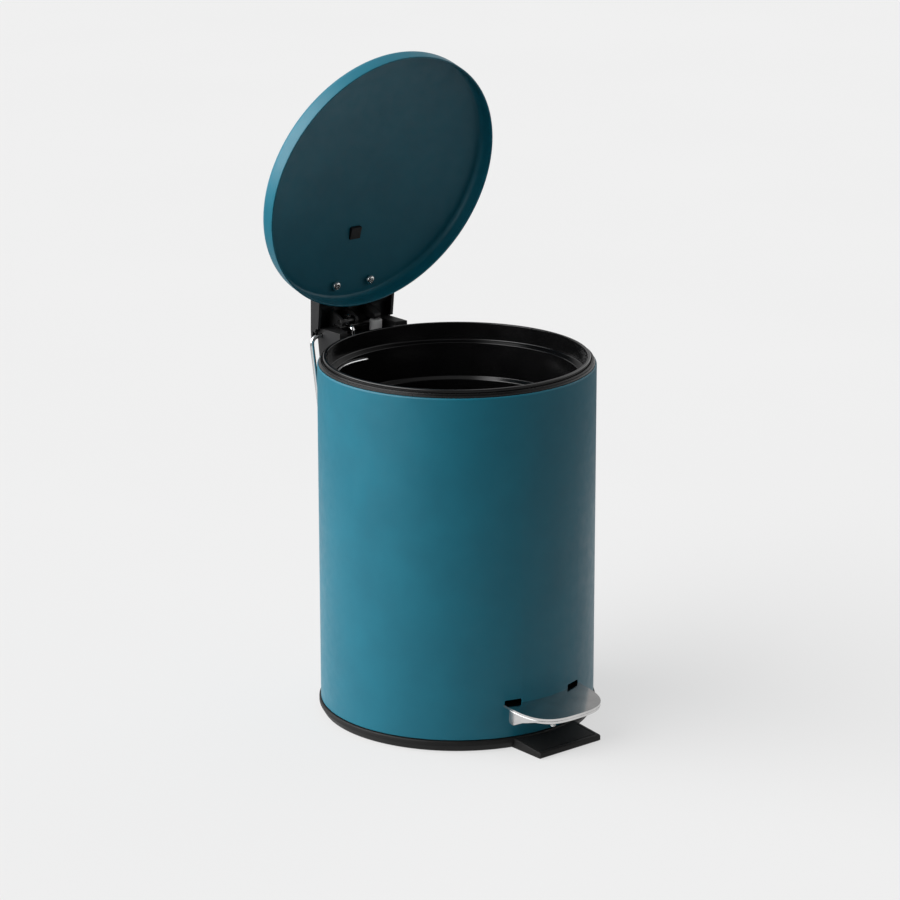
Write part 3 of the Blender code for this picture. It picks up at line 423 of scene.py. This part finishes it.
def smooth_path(corners, bend, steps=10):
    """A polyline with its corners rounded to the bend radius."""
    points = [Vector(corners[0])]
    for before, corner, after in zip(corners, corners[1:], corners[2:]):
        before, corner, after = Vector(before), Vector(corner), Vector(after)
        into, out = (corner - before).normalized(), (after - corner).normalized()
        reach = bend * math.tan(into.angle(out) / 2.0)
        reach = min(reach, (corner - before).length * 0.49, (after - corner).length * 0.49)
        first, last = corner - into * reach, corner + out * reach
        for i in range(steps + 1):
            t = i / steps
            points.append(first * (1 - t) ** 2 + corner * 2 * t * (1 - t) + last * t ** 2)
    points.append(Vector(corners[-1]))
    return points


def wire(name, points, radius, body, nodes):
    """Bright round wire along a path, its ends filled."""
    curve = bpy.data.curves.new(name, "CURVE")
    curve.dimensions = "3D"
    curve.bevel_depth = radius
    curve.bevel_resolution = 6
    curve.use_fill_caps = True
    line = curve.splines.new("POLY")
    line.points.add(len(points) - 1)
    for point, place in zip(line.points, points):
        point.co = (*place, 1.0)
    scratch = bpy.data.objects.new(name + "_curve", curve)
    bpy.context.scene.collection.objects.link(scratch)
    shape = applied(scratch)
    bmesh.ops.remove_doubles(shape, verts=shape.verts, dist=0.001 * MM)
    finish_piece(name, shape, WIRE, body, nodes, sharp=50.0)


# ---------------------------------------------------------------- camera, floor, light

def make_camera():
    data = bpy.data.cameras.new("camera")
    data.lens = LENS_MM
    data.sensor_width = SENSOR_MM
    data.clip_start = 0.1
    data.clip_end = 50.0
    made = bpy.data.objects.new("camera", data)
    bpy.context.scene.collection.objects.link(made)
    turn, lift, roll = CAMERA_TURN, CAMERA_LIFT, CAMERA_ROLL
    back = Vector((math.sin(turn) * math.cos(lift), -math.cos(turn) * math.cos(lift), math.sin(lift)))
    right = Vector((math.cos(turn), math.sin(turn), 0.0))
    up = back.cross(right)
    across = right * math.cos(roll) + up * math.sin(roll)
    upright = up * math.cos(roll) - right * math.sin(roll)
    made.matrix_world = Matrix.Translation(CAMERA_PLACE) @ Matrix(
        ((across.x, upright.x, back.x), (across.y, upright.y, back.y), (across.z, upright.z, back.z))
    ).to_4x4()
    bpy.context.scene.camera = made


def make_floor():
    shape = bmesh.new()
    bmesh.ops.create_grid(shape, x_segments=1, y_segments=1, size=FLOOR_SIZE)
    mesh = bpy.data.meshes.new("floor")
    shape.to_mesh(mesh)
    shape.free()
    floor = bpy.data.objects.new("floor", mesh)
    bpy.context.scene.collection.objects.link(floor)
    mesh.materials.append(floor_material())


def floor_material():
    """Matte pale sweep: mostly its own light where it is seen, and a quiet bounce on the bin."""
    made = new_material("studio_floor", (0.2, 0.2, 0.2), 0.9)
    nodes, links = made.node_tree.nodes, made.node_tree.links
    nodes["Principled BSDF"].inputs["Specular IOR Level"].default_value = 0.0
    bright = nodes.new("ShaderNodeBsdfDiffuse")
    links.new(mapped(made, noise(made, 3.0, 2.0), 0.64, 0.66), bright.inputs["Color"])
    glow = nodes.new("ShaderNodeEmission")
    glow.inputs["Color"].default_value = (FLOOR_GLOW, FLOOR_GLOW, FLOOR_GLOW, 1.0)
    seen = nodes.new("ShaderNodeMixShader")
    seen.inputs["Fac"].default_value = 0.7
    links.new(bright.outputs["BSDF"], seen.inputs[1])
    links.new(glow.outputs["Emission"], seen.inputs[2])
    rays = nodes.new("ShaderNodeLightPath")
    place = nodes.new("ShaderNodeTexCoord")
    distance = nodes.new("ShaderNodeVectorMath")
    distance.operation = "LENGTH"
    links.new(place.outputs["Object"], distance.inputs[0])
    near = mapped(made, distance.outputs["Value"], 1.0, 0.05, 0.42, 0.72)
    mirrored = nodes.new("ShaderNodeMath")
    mirrored.operation = "MULTIPLY"
    links.new(rays.outputs["Is Glossy Ray"], mirrored.inputs[0])
    links.new(near, mirrored.inputs[1])
    either = nodes.new("ShaderNodeMath")
    either.operation = "MAXIMUM"
    links.new(rays.outputs["Is Camera Ray"], either.inputs[0])
    links.new(mirrored.outputs["Value"], either.inputs[1])
    chosen = nodes.new("ShaderNodeMixShader")
    links.new(either.outputs["Value"], chosen.inputs["Fac"])
    links.new(nodes["Principled BSDF"].outputs["BSDF"], chosen.inputs[1])
    links.new(seen.outputs["Shader"], chosen.inputs[2])
    links.new(chosen.outputs["Shader"], nodes["Material Output"].inputs["Surface"])
    return made


def lobe(tree, direction, start, end, strength):
    """A soft patch of sky round a direction, from zero at start to full at end (cosines)."""
    nodes, links = tree.nodes, tree.links
    place = nodes.new("ShaderNodeTexCoord")
    dot = nodes.new("ShaderNodeVectorMath")
    dot.operation = "DOT_PRODUCT"
    dot.inputs[1].default_value = Vector(direction).normalized()
    ramp = nodes.new("ShaderNodeMapRange")
    ramp.interpolation_type = "SMOOTHSTEP"
    ramp.inputs["From Min"].default_value = start
    ramp.inputs["From Max"].default_value = end
    ramp.inputs["To Max"].default_value = strength
    links.new(place.outputs["Generated"], dot.inputs[0])
    links.new(dot.outputs["Value"], ramp.inputs["Value"])
    return ramp.outputs["Result"]


def make_light():
    """A bright tent: a big soft box at the left, weaker ones above and behind, dark in front."""
    world = bpy.data.worlds.new("tent")
    bpy.context.scene.world = world
    world.use_nodes = True
    tree = world.node_tree
    total = None
    for direction, start, end, strength in LIGHT_PATCHES:
        part = lobe(tree, direction, start, end, strength)
        if total is None:
            total = part
            continue
        both = tree.nodes.new("ShaderNodeMath")
        tree.links.new(total, both.inputs[0])
        tree.links.new(part, both.inputs[1])
        total = both.outputs["Value"]
    both = tree.nodes.new("ShaderNodeMath")
    both.inputs[1].default_value = AMBIENT
    tree.links.new(total, both.inputs[0])
    background = tree.nodes["Background"]
    background.inputs["Color"].default_value = (1.0, 1.0, 1.0, 1.0)
    tree.links.new(both.outputs["Value"], background.inputs["Strength"])
    bpy.context.scene.view_settings.view_transform = "Standard"


# ---------------------------------------------------------------- body, base, bucket

BODY_LOW, BODY_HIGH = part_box("body_shell")
BODY_RADIUS = BODY_HIGH.x


def rounded_box(a_low, a_high, b_low, b_high, radius):
    corners = ((a_low, b_low), (a_high, b_low), (a_high, b_high), (a_low, b_high))
    return soften([(a, b, radius) for a, b in corners])


def make_body():
    inner, edge = BODY_RADIUS - SHEET, 0.25 * MM
    top, low = BODY_HIGH.z, BODY_LOW.z
    curl_in, curl_down = 0.75 * MM, 1.2 * MM
    curl = []
    for i in range(9):
        angle = math.radians(90.0 * i / 8)
        curl.append((
            BODY_RADIUS - curl_in * (1.0 - math.cos(angle)), top - curl_down * (1.0 - math.sin(angle)), 0.0))
    foot = [(inner, low, edge), (BODY_RADIUS, low, edge)]
    outline = soften(foot + curl + [(inner, top - curl_down, 0.0)], 4)
    tools = []
    for side in (-1, 1):
        ends = sorted((side * (ARM_INNER - 0.5 * MM), side * (ARM_OUTER + 0.5 * MM)))
        slot = rounded_box(ends[0], ends[1], 26.6 * MM, 31.3 * MM, 1.2 * MM)
        tools.append(prism(slot, -BODY_RADIUS - 5 * MM, -BODY_RADIUS * 0.8, "Y"))
    window = rounded_box(-15.5 * MM, -8.5 * MM, 187.5 * MM, 208.0 * MM, 2.0 * MM)
    tools.append(prism(window, BODY_RADIUS * 0.9, BODY_RADIUS * 1.1, "Y"))
    for side in (-1, 1):
        hole = arc((side * 22.5 * MM, 200.0 * MM), 2.1 * MM, 0.0, 360.0 - 360.0 / 24, 24)
        tools.append(prism(hole, BODY_RADIUS * 0.9, BODY_RADIUS * 1.1, "Y"))
    shape = boolean(turned(outline), tools)
    finish_piece("body_tube", shape, PAINT, "can", ["body_shell"])


def make_collar():
    low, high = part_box("collar_ring")
    outer, inner = high.x, 80.45 * MM
    top, seat = high.z, 221.9 * MM
    land_inner, land_outer = 81.8 * MM, 83.3 * MM
    corners = [
        (inner, low.z, 0.3 * MM), (outer, low.z, 0.3 * MM), (outer, top - 1.7 * MM, 0.25 * MM),
        (land_outer + 0.1 * MM, top - 1.3 * MM, 0.2 * MM), (land_outer, top, 0.35 * MM),
        (land_inner, top, 0.25 * MM), (land_inner - 0.05 * MM, seat, 0.15 * MM),
        (inner + 0.3 * MM, seat, 0.2 * MM), (inner, seat - 0.4 * MM, 0.0),
    ]
    finish_piece("collar", turned(soften(corners, 4)), RING_BLACK, "can", ["collar_ring"])


def make_bucket():
    low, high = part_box("inner_bucket")
    rim_out, top, bottom = high.x, high.z, low.z
    opening, seat = 79.4 * MM, 222.2 * MM
    ledge, step = 214.0 * MM, 192.0 * MM
    wall = 1.3 * MM
    corners = [
        (0.0, bottom + 1.6 * MM, 0.0), (66.7 * MM, bottom + 1.6 * MM, 3.5 * MM),
        (72.0 * MM, step - 2.0 * MM, 1.0 * MM), (73.7 * MM, step, 0.6 * MM),
        (74.4 * MM, ledge - 0.5 * MM, 0.5 * MM), (opening, ledge, 0.8 * MM),
        (opening, top, 0.55 * MM), (rim_out, top, 0.7 * MM), (rim_out, seat, 0.3 * MM),
        (opening + 0.8 * MM, seat, 0.15 * MM), (opening + 0.8 * MM, ledge - 0.8 * MM, 0.5 * MM),
        (75.8 * MM, ledge - 1.6 * MM, 0.5 * MM), (74.9 * MM, step - 1.0 * MM, 1.0 * MM),
        (68.0 * MM, bottom, 4.0 * MM), (0.0, bottom, 0.0),
    ]
    x, _, z = joint("bail_swing")["pos_m"]
    bore = rod_shape(1.2 * MM, (x, -90 * MM, z), (x, 90 * MM, z), 24)
    shape = boolean(turned(soften(corners, 6)), [bore])
    finish_piece("bucket", shape, GLOSS_BLACK, "bucket", ["inner_bucket"])


def make_bail():
    pivot = Vector(joint("bail_swing")["pos_m"])
    tilt = Matrix.Translation(pivot) @ Matrix.Rotation(math.radians(4.7), 4, "Y")
    radius, end = 72.9 * MM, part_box("bucket_bail")[1].y
    start = math.degrees(math.acos(pivot.x / radius))
    bend = arc((0.0, 0.0), radius, start, 360.0 - start, 90)
    path = [(pivot.x, end)] + bend + [(pivot.x, -end)]
    points = [Vector((x - pivot.x, y, 0.0)) for x, y in path]
    wire("bail_wire", [tilt @ p for p in points], 0.9 * MM, "bail", ["bucket_bail"])


def make_base():
    low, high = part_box("base")
    lip, foot, rise = high.x, 83.8 * MM, 0.4 * MM
    lip_low, lip_top, spigot_top = 4.4 * MM, 7.3 * MM, 15.0 * MM
    spigot = BODY_RADIUS - SHEET - GAP
    inner, floor_top = spigot - 2.2 * MM, 4.4 * MM
    corners = [
        (0.0, rise, 0.0), (foot, rise, 0.5 * MM), (lip, lip_low, 0.6 * MM), (lip, lip_top, 0.9 * MM),
        (spigot, lip_top, 0.1 * MM), (spigot, spigot_top, 0.6 * MM), (inner, spigot_top, 0.6 * MM),
        (inner, floor_top, 1.2 * MM), (0.0, floor_top, 0.0),
    ]
    ring = turned(soften(corners, 4))
    posts = [post_shape(side) for side in (-1, 1)]
    boss_radius, boss_top = 14.0 * MM, 3.0 * MM
    boss = turned([
        (0.0, 0.0), (boss_radius - 0.4 * MM, 0.0), (boss_radius, 0.4 * MM),
        (boss_radius, boss_top), (0.0, boss_top),
    ], 96)
    shape = boolean(ring, [toe_shape(low.y)] + posts + [boss], "UNION")
    bore = rod_shape(PIN_BORE, (-40 * MM, PIVOT.y, PIVOT.z), (40 * MM, PIVOT.y, PIVOT.z), 32)
    pockets = [pad_outline_prism(angle, 0.3 * MM, -1 * MM, 2.0 * MM) for angle in PAD_ANGLES.values()]
    shape = boolean(shape, [bore] + pockets)
    finish_piece("base_moulding", shape, BASE_BLACK, "can", ["base"])


def toe_shape(front):
    """Wedge under the pedal, with soft edges, a step along its front and a shallow border on top."""
    back, half = -BODY_RADIUS * 0.9, 24.1 * MM
    front_top, back_top = 4.3 * MM, 7.25 * MM
    corners = [
        (back, 0.4 * MM, 0.0), (front + 0.9 * MM, 0.4 * MM, 0.3 * MM), (front, 1.1 * MM, 0.3 * MM),
        (front, front_top - 0.5 * MM, 0.4 * MM), (front + 0.8 * MM, front_top, 0.3 * MM),
        (back, back_top, 0.0),
    ]
    shape = prism(soften(corners, 3), -half, half, "X")
    shape = bevelled(shape, 0.35 * MM, 3, 60.0)
    slope = (back_top - front_top) / (back - front - 0.8 * MM)
    groove_back = -BODY_RADIUS - 2.4 * MM
    tools = []
    for a, b, x_low, x_high in (
        (front + 2.6 * MM, front + 3.0 * MM, -half + 2.4 * MM, half - 2.4 * MM),
        (front + 2.6 * MM, groove_back, -half + 2.0 * MM, -half + 2.4 * MM),
        (front + 2.6 * MM, groove_back, half - 2.4 * MM, half - 2.0 * MM),
    ):
        height_a, height_b = [front_top + slope * (y - front - 0.8 * MM) for y in (a, b)]
        side = [
            (a, height_a - 0.25 * MM), (b, height_b - 0.25 * MM),
            (b, height_b + 2 * MM), (a, height_a + 2 * MM),
        ]
        tools.append(prism(side, x_low, x_high, "X"))
    return boolean(shape, tools)


def post_shape(side):
    """Post that holds one end of the pedal's pivot pin."""
    y, z, radius = PIVOT.y, PIVOT.z, 3.9 * MM
    foot = 3.4 * MM
    outline = [(y + 7 * MM, foot)] + arc((y, z), radius, 0.0, 180.0, 25) + [(y - 7 * MM, foot)]
    ends = sorted((side * 20.5 * MM, side * 26.6 * MM))
    return prism(outline, ends[0], ends[1], "X")


PAD_ANGLES = {"front_left": 215.0, "front_right": 325.0, "rear_left": 145.0, "rear_right": 35.0}


def pad_outline_prism(angle, margin, low, high):
    """A curved pad's shape, grown by a margin."""
    half = PAD_HALF_ANGLE + math.degrees(margin / PAD_MIDDLE)
    inner, outer = PAD_INNER - margin, PAD_OUTER + margin
    outline = arc((0, 0), outer, angle - half, angle + half, 33)
    outline += arc((0, 0), inner, angle + half, angle - half, 33)
    return prism(outline, low, high)


def make_foot_pads():
    for name, angle in PAD_ANGLES.items():
        low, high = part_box("foot_pad_" + name)
        shape = bevelled(pad_outline_prism(angle, 0.0, low.z, high.z), 0.3 * MM, 2, 60.0)
        finish_piece("pad_" + name, shape, RUBBER, "can", ["foot_pad_" + name])


# ---------------------------------------------------------------- lid

LID_LOW, LID_HIGH = box_in("lid_panel", LID_FRAME)
LID_RADIUS = LID_HIGH.x
LID_RIM = LID_LOW.z


def dome_height(radius, offset=0.0):
    """Height of the dome's outer face above the rim plane."""
    return LID_DEPTH - DOME_RADIUS + math.sqrt((DOME_RADIUS + offset) ** 2 - radius ** 2)


def lid_side(offset, steps=10):
    """Outer side of the lid's section from the band to the centre, moved out by offset."""
    edge = LID_RADIUS - LID_SHOULDER
    top = dome_height(edge)
    points = [(LID_RADIUS + offset, LID_BAND)]
    for i in range(1, steps):
        angle = math.radians(90.0 * i / steps)
        reach = (LID_SHOULDER + offset) * math.cos(angle)
        points.append((edge + reach, LID_BAND + (top - LID_BAND + offset) * math.sin(angle)))
    for i in range(24):
        radius = edge * (1.0 - i / 24.0)
        points.append((radius, dome_height(radius, offset)))
    points.append((0.0, dome_height(0.0, offset)))
    return points


def make_lid():
    """Pressed dish with a rolled hem; holes for the screws and the boss."""
    hem = LID_RADIUS - LID_HEM
    rim = soften([
        (LID_RADIUS - SHEET, 3.0 * MM, 0.0), (LID_RADIUS - SHEET, 2.3 * MM, 0.3 * MM),
        (hem, 1.8 * MM, 0.3 * MM), (hem, 0.0, 0.45 * MM),
        (LID_RADIUS, 0.0, 0.5 * MM), (LID_RADIUS, 3.0 * MM, 0.0),
    ], 4)
    outline = rim + lid_side(0.0) + list(reversed(lid_side(-SHEET)))[:-1] + [(LID_RADIUS - SHEET, LID_BAND)]
    outline = [(r, z + LID_RIM) for r, z in outline]
    centre_y = -HINGE.y
    tools = []
    for side in (-1, 1):
        place = (side * 13.5 * MM, SCREW_REACH - HINGE.y)
        tools.append(prism(arc(place, 2.1 * MM, 0.0, 345.0, 24), LID_RIM, LID_RIM + 30 * MM))
    half, y = 4.2 * MM, BOSS_REACH - HINGE.y
    tools.append(prism(rounded_box(-half, half, y - half, y + half, 1.2 * MM), LID_RIM, LID_RIM + 30 * MM))
    shape = boolean(turned(outline, FINE, (0.0, centre_y)), tools)
    finish_piece("lid_dish", shape, PAINT, "lid", ["lid_panel"], LID_FRAME)


def make_lid_screws():
    """Pan heads with a cross recess, upright in the lid's frame."""
    for name, side in (("left", -1), ("right", 1)):
        node = "lid_screw_" + name
        low, high = box_in(node, LID_FRAME)
        x, y = (low.x + high.x) / 2, (low.y + high.y) / 2
        radius, head = 3.1 * MM, 2.1 * MM
        outline = [(0.0, 0.0)] + arc((radius - 1.5 * MM, 1.35 * MM), 1.35 * MM, 270.0, 345.0, 8)
        shank, end = 1.5 * MM, high.z - low.z
        outline += [(radius, 1.5 * MM), (radius, head), (shank, head), (shank, end), (0.0, end)]
        shape = turned(outline, MEDIUM)
        tools = []
        for long_x, long_y in ((1.75, 0.42), (0.42, 1.75)):
            cross = rounded_box(-long_x * MM, long_x * MM, -long_y * MM, long_y * MM, 0.2 * MM)
            tools.append(prism(cross, -1.0 * MM, 1.15 * MM))
        socket = [(0.0, -1.0 * MM), (1.2 * MM, -1.0 * MM), (0.7 * MM, 1.4 * MM), (0.0, 1.7 * MM)]
        tools.append(turned(socket, 32))
        shape = bevelled(boolean(shape, tools), 0.08 * MM, 2, 40.0)
        place = LID_FRAME @ Matrix.Translation((x, y, low.z))
        finish_piece("screw_" + name, shape, CHROME, "lid", [node], place)


# ---------------------------------------------------------------- hinge, linkage, handle

def make_refined(node, body, finish, width, segments=2, angle=32.0):
    """The CAD node's own shape with softened edges."""
    shape = bevelled(node_shape(node), width, segments, angle)
    finish_piece(node + "_soft", shape, finish, body, [node], sharp=12.0)


def make_hinge_pin():
    low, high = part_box("hinge_pin")
    shape = rod_shape(1.5 * MM, (low.x, HINGE.y, HINGE.z), (high.x, HINGE.y, HINGE.z), MEDIUM, 0.4 * MM)
    finish_piece("pin_steel", shape, DARK_STEEL, "can", ["hinge_pin"])


def make_hook_bar():
    low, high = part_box("hook_bar")
    y, z = (low.y + high.y) / 2, (low.z + high.z) / 2
    shape = rod_shape(1.5 * MM, (low.x, y, z), (high.x, y, z), MEDIUM, 0.3 * MM)
    finish_piece("hook_bar_steel", shape, DARK_STEEL, "lid", ["hook_bar"])


def make_damper():
    low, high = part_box("damper_body")
    x, y = (low.x + high.x) / 2, (low.y + high.y) / 2
    outer, bore, floor = 5.3 * MM, 4.2 * MM, low.z + 1.2 * MM
    corners = [(0.0, low.z, 0.0), (outer, low.z, 0.4 * MM), (outer, high.z - 2.0 * MM, 0.3 * MM),
               (outer - 0.3 * MM, high.z - 2.0 * MM, 0.1 * MM), (outer - 0.3 * MM, high.z, 0.2 * MM),
               (bore, high.z, 0.2 * MM), (bore, floor, 0.0), (0.0, floor, 0.0)]
    shape = turned(soften(corners, 3), 64, (x, y))
    finish_piece("damper_case", shape, GREY, "can", ["damper_body"])
    low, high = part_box("damper_plunger")
    radius = 3.9 * MM
    corners = [(0.0, low.z, 0.0), (radius, low.z, 0.3 * MM), (radius, high.z, 0.5 * MM),
               (radius - 1.2 * MM, high.z, 0.2 * MM), (radius - 1.5 * MM, high.z - 0.3 * MM, 0.1 * MM),
               (0.0, high.z - 0.3 * MM, 0.0)]
    shape = turned(soften(corners, 3), 64, (x, y))
    finish_piece("damper_pin", shape, GREY, "plunger", ["damper_plunger"])


def make_lift_rod():
    """Bright wire with a hook round the bar, and the crimped collar that the lever lifts."""
    low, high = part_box("lift_rod")
    bar_low, bar_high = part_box("hook_bar")
    bar_y, bar_z = (bar_low.y + bar_high.y) / 2, (bar_low.z + bar_high.z) / 2
    x, radius = (low.x + high.x) / 2, (high.x - low.x) / 2
    arm = math.hypot(bar_y - HINGE.y, bar_z - HINGE.z)
    swing = arm * (1.0 - math.cos(OPEN_ANGLE / 2.0))
    turn = high.z - radius - bar_z
    low_y, high_y = low.y + radius, bar_y - swing - 3.2 * MM
    path = [(x, low_y, low.z), (x, low_y, 199.0 * MM), (x, high_y, 209.0 * MM)]
    path += [(x, high_y, bar_z - turn), (x, bar_y, bar_z - turn)]
    points = smooth_path(path, 3.0 * MM)[:-1]
    points += [Vector((x, a, b)) for a, b in arc((bar_y, bar_z), turn, 270.0, 450.0, 25)]
    points.append(Vector((x, bar_y - swing, bar_z + turn)))
    wire("lift_wire", points, radius, "rod", ["lift_rod"])
    make_refined("rod_collar", "rod", ZINC, 0.25 * MM, 2, 50.0)


def make_carry_handle():
    low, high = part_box("carry_handle")
    pivot = Vector(joint("handle_swing")["pos_m"])
    radius = (high.y - low.y) / 2
    side, end, drop, taper = 34.8 * MM, 23.4 * MM, 62.0 * MM, 8.0 * MM
    corners = [(-end, 0, 0), (-side, 0, 0), (-side + taper, 0, -drop)]
    corners += [(-x, y, z) for x, y, z in reversed(corners)]
    points = [pivot + p for p in smooth_path(corners, 6.0 * MM)]
    wire("handle_wire", points, radius, "handle", ["carry_handle"])


# ---------------------------------------------------------------- pedal

PLATE_LOW, PLATE_HIGH = box_in("pedal_plate", PEDAL_FRAME)


def plate_outline(margin, back):
    """Half-moon: a squared half-ellipse in front of the tips, straight at the back."""
    width = PLATE_HIGH.x - margin
    reach = PLATE_TIPS - PLATE_LOW.y - margin
    points = [(width, back)]
    for i in range(PLATE_STEPS + 1):
        angle = math.pi * i / PLATE_STEPS
        c, s = math.cos(angle), math.sin(angle)
        x = width * math.copysign(abs(c) ** (2.0 / PLATE_POWER), c)
        point = (x, PLATE_TIPS - reach * abs(s) ** (2.0 / PLATE_POWER))
        if math.dist(point, points[-1]) > 0.1 * MM:
            points.append(point)
    points.append((-width, back))
    return points


def make_pedal_plate():
    """Polished plate with a rolled rim, two arms through the slots and their side flanges."""
    top = PLATE_HIGH.z
    shape = prism(plate_outline(0.0, PLATE_TIPS + 1.0 * MM), top - SKIRT_DEPTH - 1.0 * MM, top)
    upper = [e for e in shape.edges if all(v.co.z > top - 0.1 * MM for v in e.verts)]
    bmesh.ops.bevel(shape, geom=upper, offset=1.0 * MM, segments=6, profile=0.5, affect="EDGES")
    pocket = prism(plate_outline(1.5 * MM, PLATE_TIPS + 8 * MM), top - 15 * MM, top - PLATE_THICK)
    under = prism(skirt_cut_outline(), -40 * MM, 40 * MM, "X")
    clear, reach = BODY_RADIUS + 0.5 * MM, 40 * MM
    tube = [(0.0, -reach), (clear, -reach), (clear, reach), (0.0, reach)]
    body = turned(tube, FINE, (0.0, -PIVOT.y))
    seam = prism(plate_outline(-1.0 * MM, PLATE_TIPS + 2.0 * MM), top - 1.75 * MM, top - 1.4 * MM)
    seam = boolean(seam, [prism(plate_outline(0.25 * MM, PLATE_TIPS + 3.0 * MM), top - 3.0 * MM, top)])
    shape = boolean(shape, [pocket, under, body, seam])
    joins = []
    for side in (-1, 1):
        ends = sorted((side * ARM_INNER, side * ARM_OUTER))
        arm = rounded_box(ends[0], ends[1], PLATE_TIPS - 9 * MM, 5.0 * MM, 1.0 * MM)
        joins.append(prism(arm, top - PLATE_THICK, top - 0.02 * MM))
        ends = sorted((side * (ARM_OUTER - 1.5 * MM), side * (ARM_OUTER - 0.01 * MM)))
        joins.append(prism(flange_outline(), ends[0], ends[1], "X"))
    shape = boolean(shape, joins, "UNION")
    holes = []
    for side in (-1, 1):
        x, y = side * RIVET_X, -9 * MM
        holes.append(rod_shape(PIN_BORE, (x, y, 0), (x, y, 12 * MM), 32))
    holes.append(rod_shape(PIN_BORE, (-reach, 0, 0), (reach, 0, 0), 32))
    shape = boolean(shape, holes)
    made = finish_piece(
        "pedal_steel", shape, PLATE_STEEL, "pedal", ["pedal_plate"], PEDAL_FRAME)
    made.data.shade_flat()


def skirt_cut_outline():
    """Side view of what is cut from under the rim: it is deep at the back ends and shallow in front."""
    top, back, deep = PLATE_HIGH.z, PLATE_TIPS - 6.0 * MM, PLATE_HIGH.z - SKIRT_DEPTH
    rear = top - PLATE_THICK + 0.05 * MM
    return soften([
        (10 * MM, rear, 0.0), (back, rear, 0.0), (back, deep + 0.6 * MM, 2.2 * MM),
        (back - 4.0 * MM, deep, 2.5 * MM), (back - 11.0 * MM, deep + 4.2 * MM, 6.0 * MM),
        (back - 19.0 * MM, top - PLATE_RIM, 4.0 * MM),
        (-70 * MM, top - PLATE_RIM, 0.0), (-70 * MM, -20 * MM, 0.0), (10 * MM, -20 * MM, 0.0),
    ], 8)


def flange_outline():
    """Side view of an arm's downturned flange inside the body, which carries the pivot."""
    top = PLATE_HIGH.z - 0.4 * MM
    front = PLATE_TIPS + 2.4 * MM
    return soften([
        (front, top, 0.0), (front, 2.0 * MM, 2.0 * MM), (-13.0 * MM, -2.4 * MM, 2.0 * MM),
        (-5 * MM, -4.4 * MM, 2.0 * MM), (4.0 * MM, -4.4 * MM, 2.0 * MM), (5.0 * MM, top, 0.0),
    ])


def make_pedal_trim():
    make_refined("pedal_lever", "pedal", ZINC, 0.3 * MM, 2, 40.0)
    for name in ("left", "right"):
        make_refined("pedal_rivet_" + name, "pedal", ZINC, 0.15 * MM, 2, 50.0)
    low, high = box_in("pedal_bumper", PEDAL_FRAME)
    x, y, radius = (low.x + high.x) / 2, (low.y + high.y) / 2, (high.x - low.x) / 2
    corners = [(0.0, low.z, 0.0), (radius, low.z, 0.7 * MM), (radius, high.z, 0.1 * MM), (0.0, high.z, 0.0)]
    shape = turned(soften(corners, 5), MEDIUM, (x, y))
    finish_piece("bumper_nub", shape, CLEAR_GREY, "pedal", ["pedal_bumper"], PEDAL_FRAME)
    low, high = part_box("pivot_pin")
    shape = rod_shape(2.0 * MM, (low.x, PIVOT.y, PIVOT.z), (high.x, PIVOT.y, PIVOT.z), MEDIUM, 0.4 * MM)
    finish_piece("pivot_steel", shape, ZINC, "can", ["pivot_pin"])


def main():
    make_camera()
    make_floor()
    make_light()
    make_body()
    make_collar()
    make_bucket()
    make_bail()
    make_base()
    make_foot_pads()
    make_lid()
    make_lid_screws()
    make_refined("lid_hood", "lid", MATTE_BLACK, 0.45 * MM, 3)
    make_refined("hinge_base", "can", MATTE_BLACK, 0.45 * MM, 3)
    make_refined("rod_guide", "can", MATTE_BLACK, 0.3 * MM)
    make_refined("backing_strip", "can", ZINC, 0.15 * MM)
    for name in ("left", "right"):
        make_refined("bracket_screw_" + name, "can", ZINC, 0.15 * MM)
    make_hinge_pin()
    make_hook_bar()
    make_damper()
    make_lift_rod()
    make_carry_handle()
    make_pedal_plate()
    make_pedal_trim()


main()
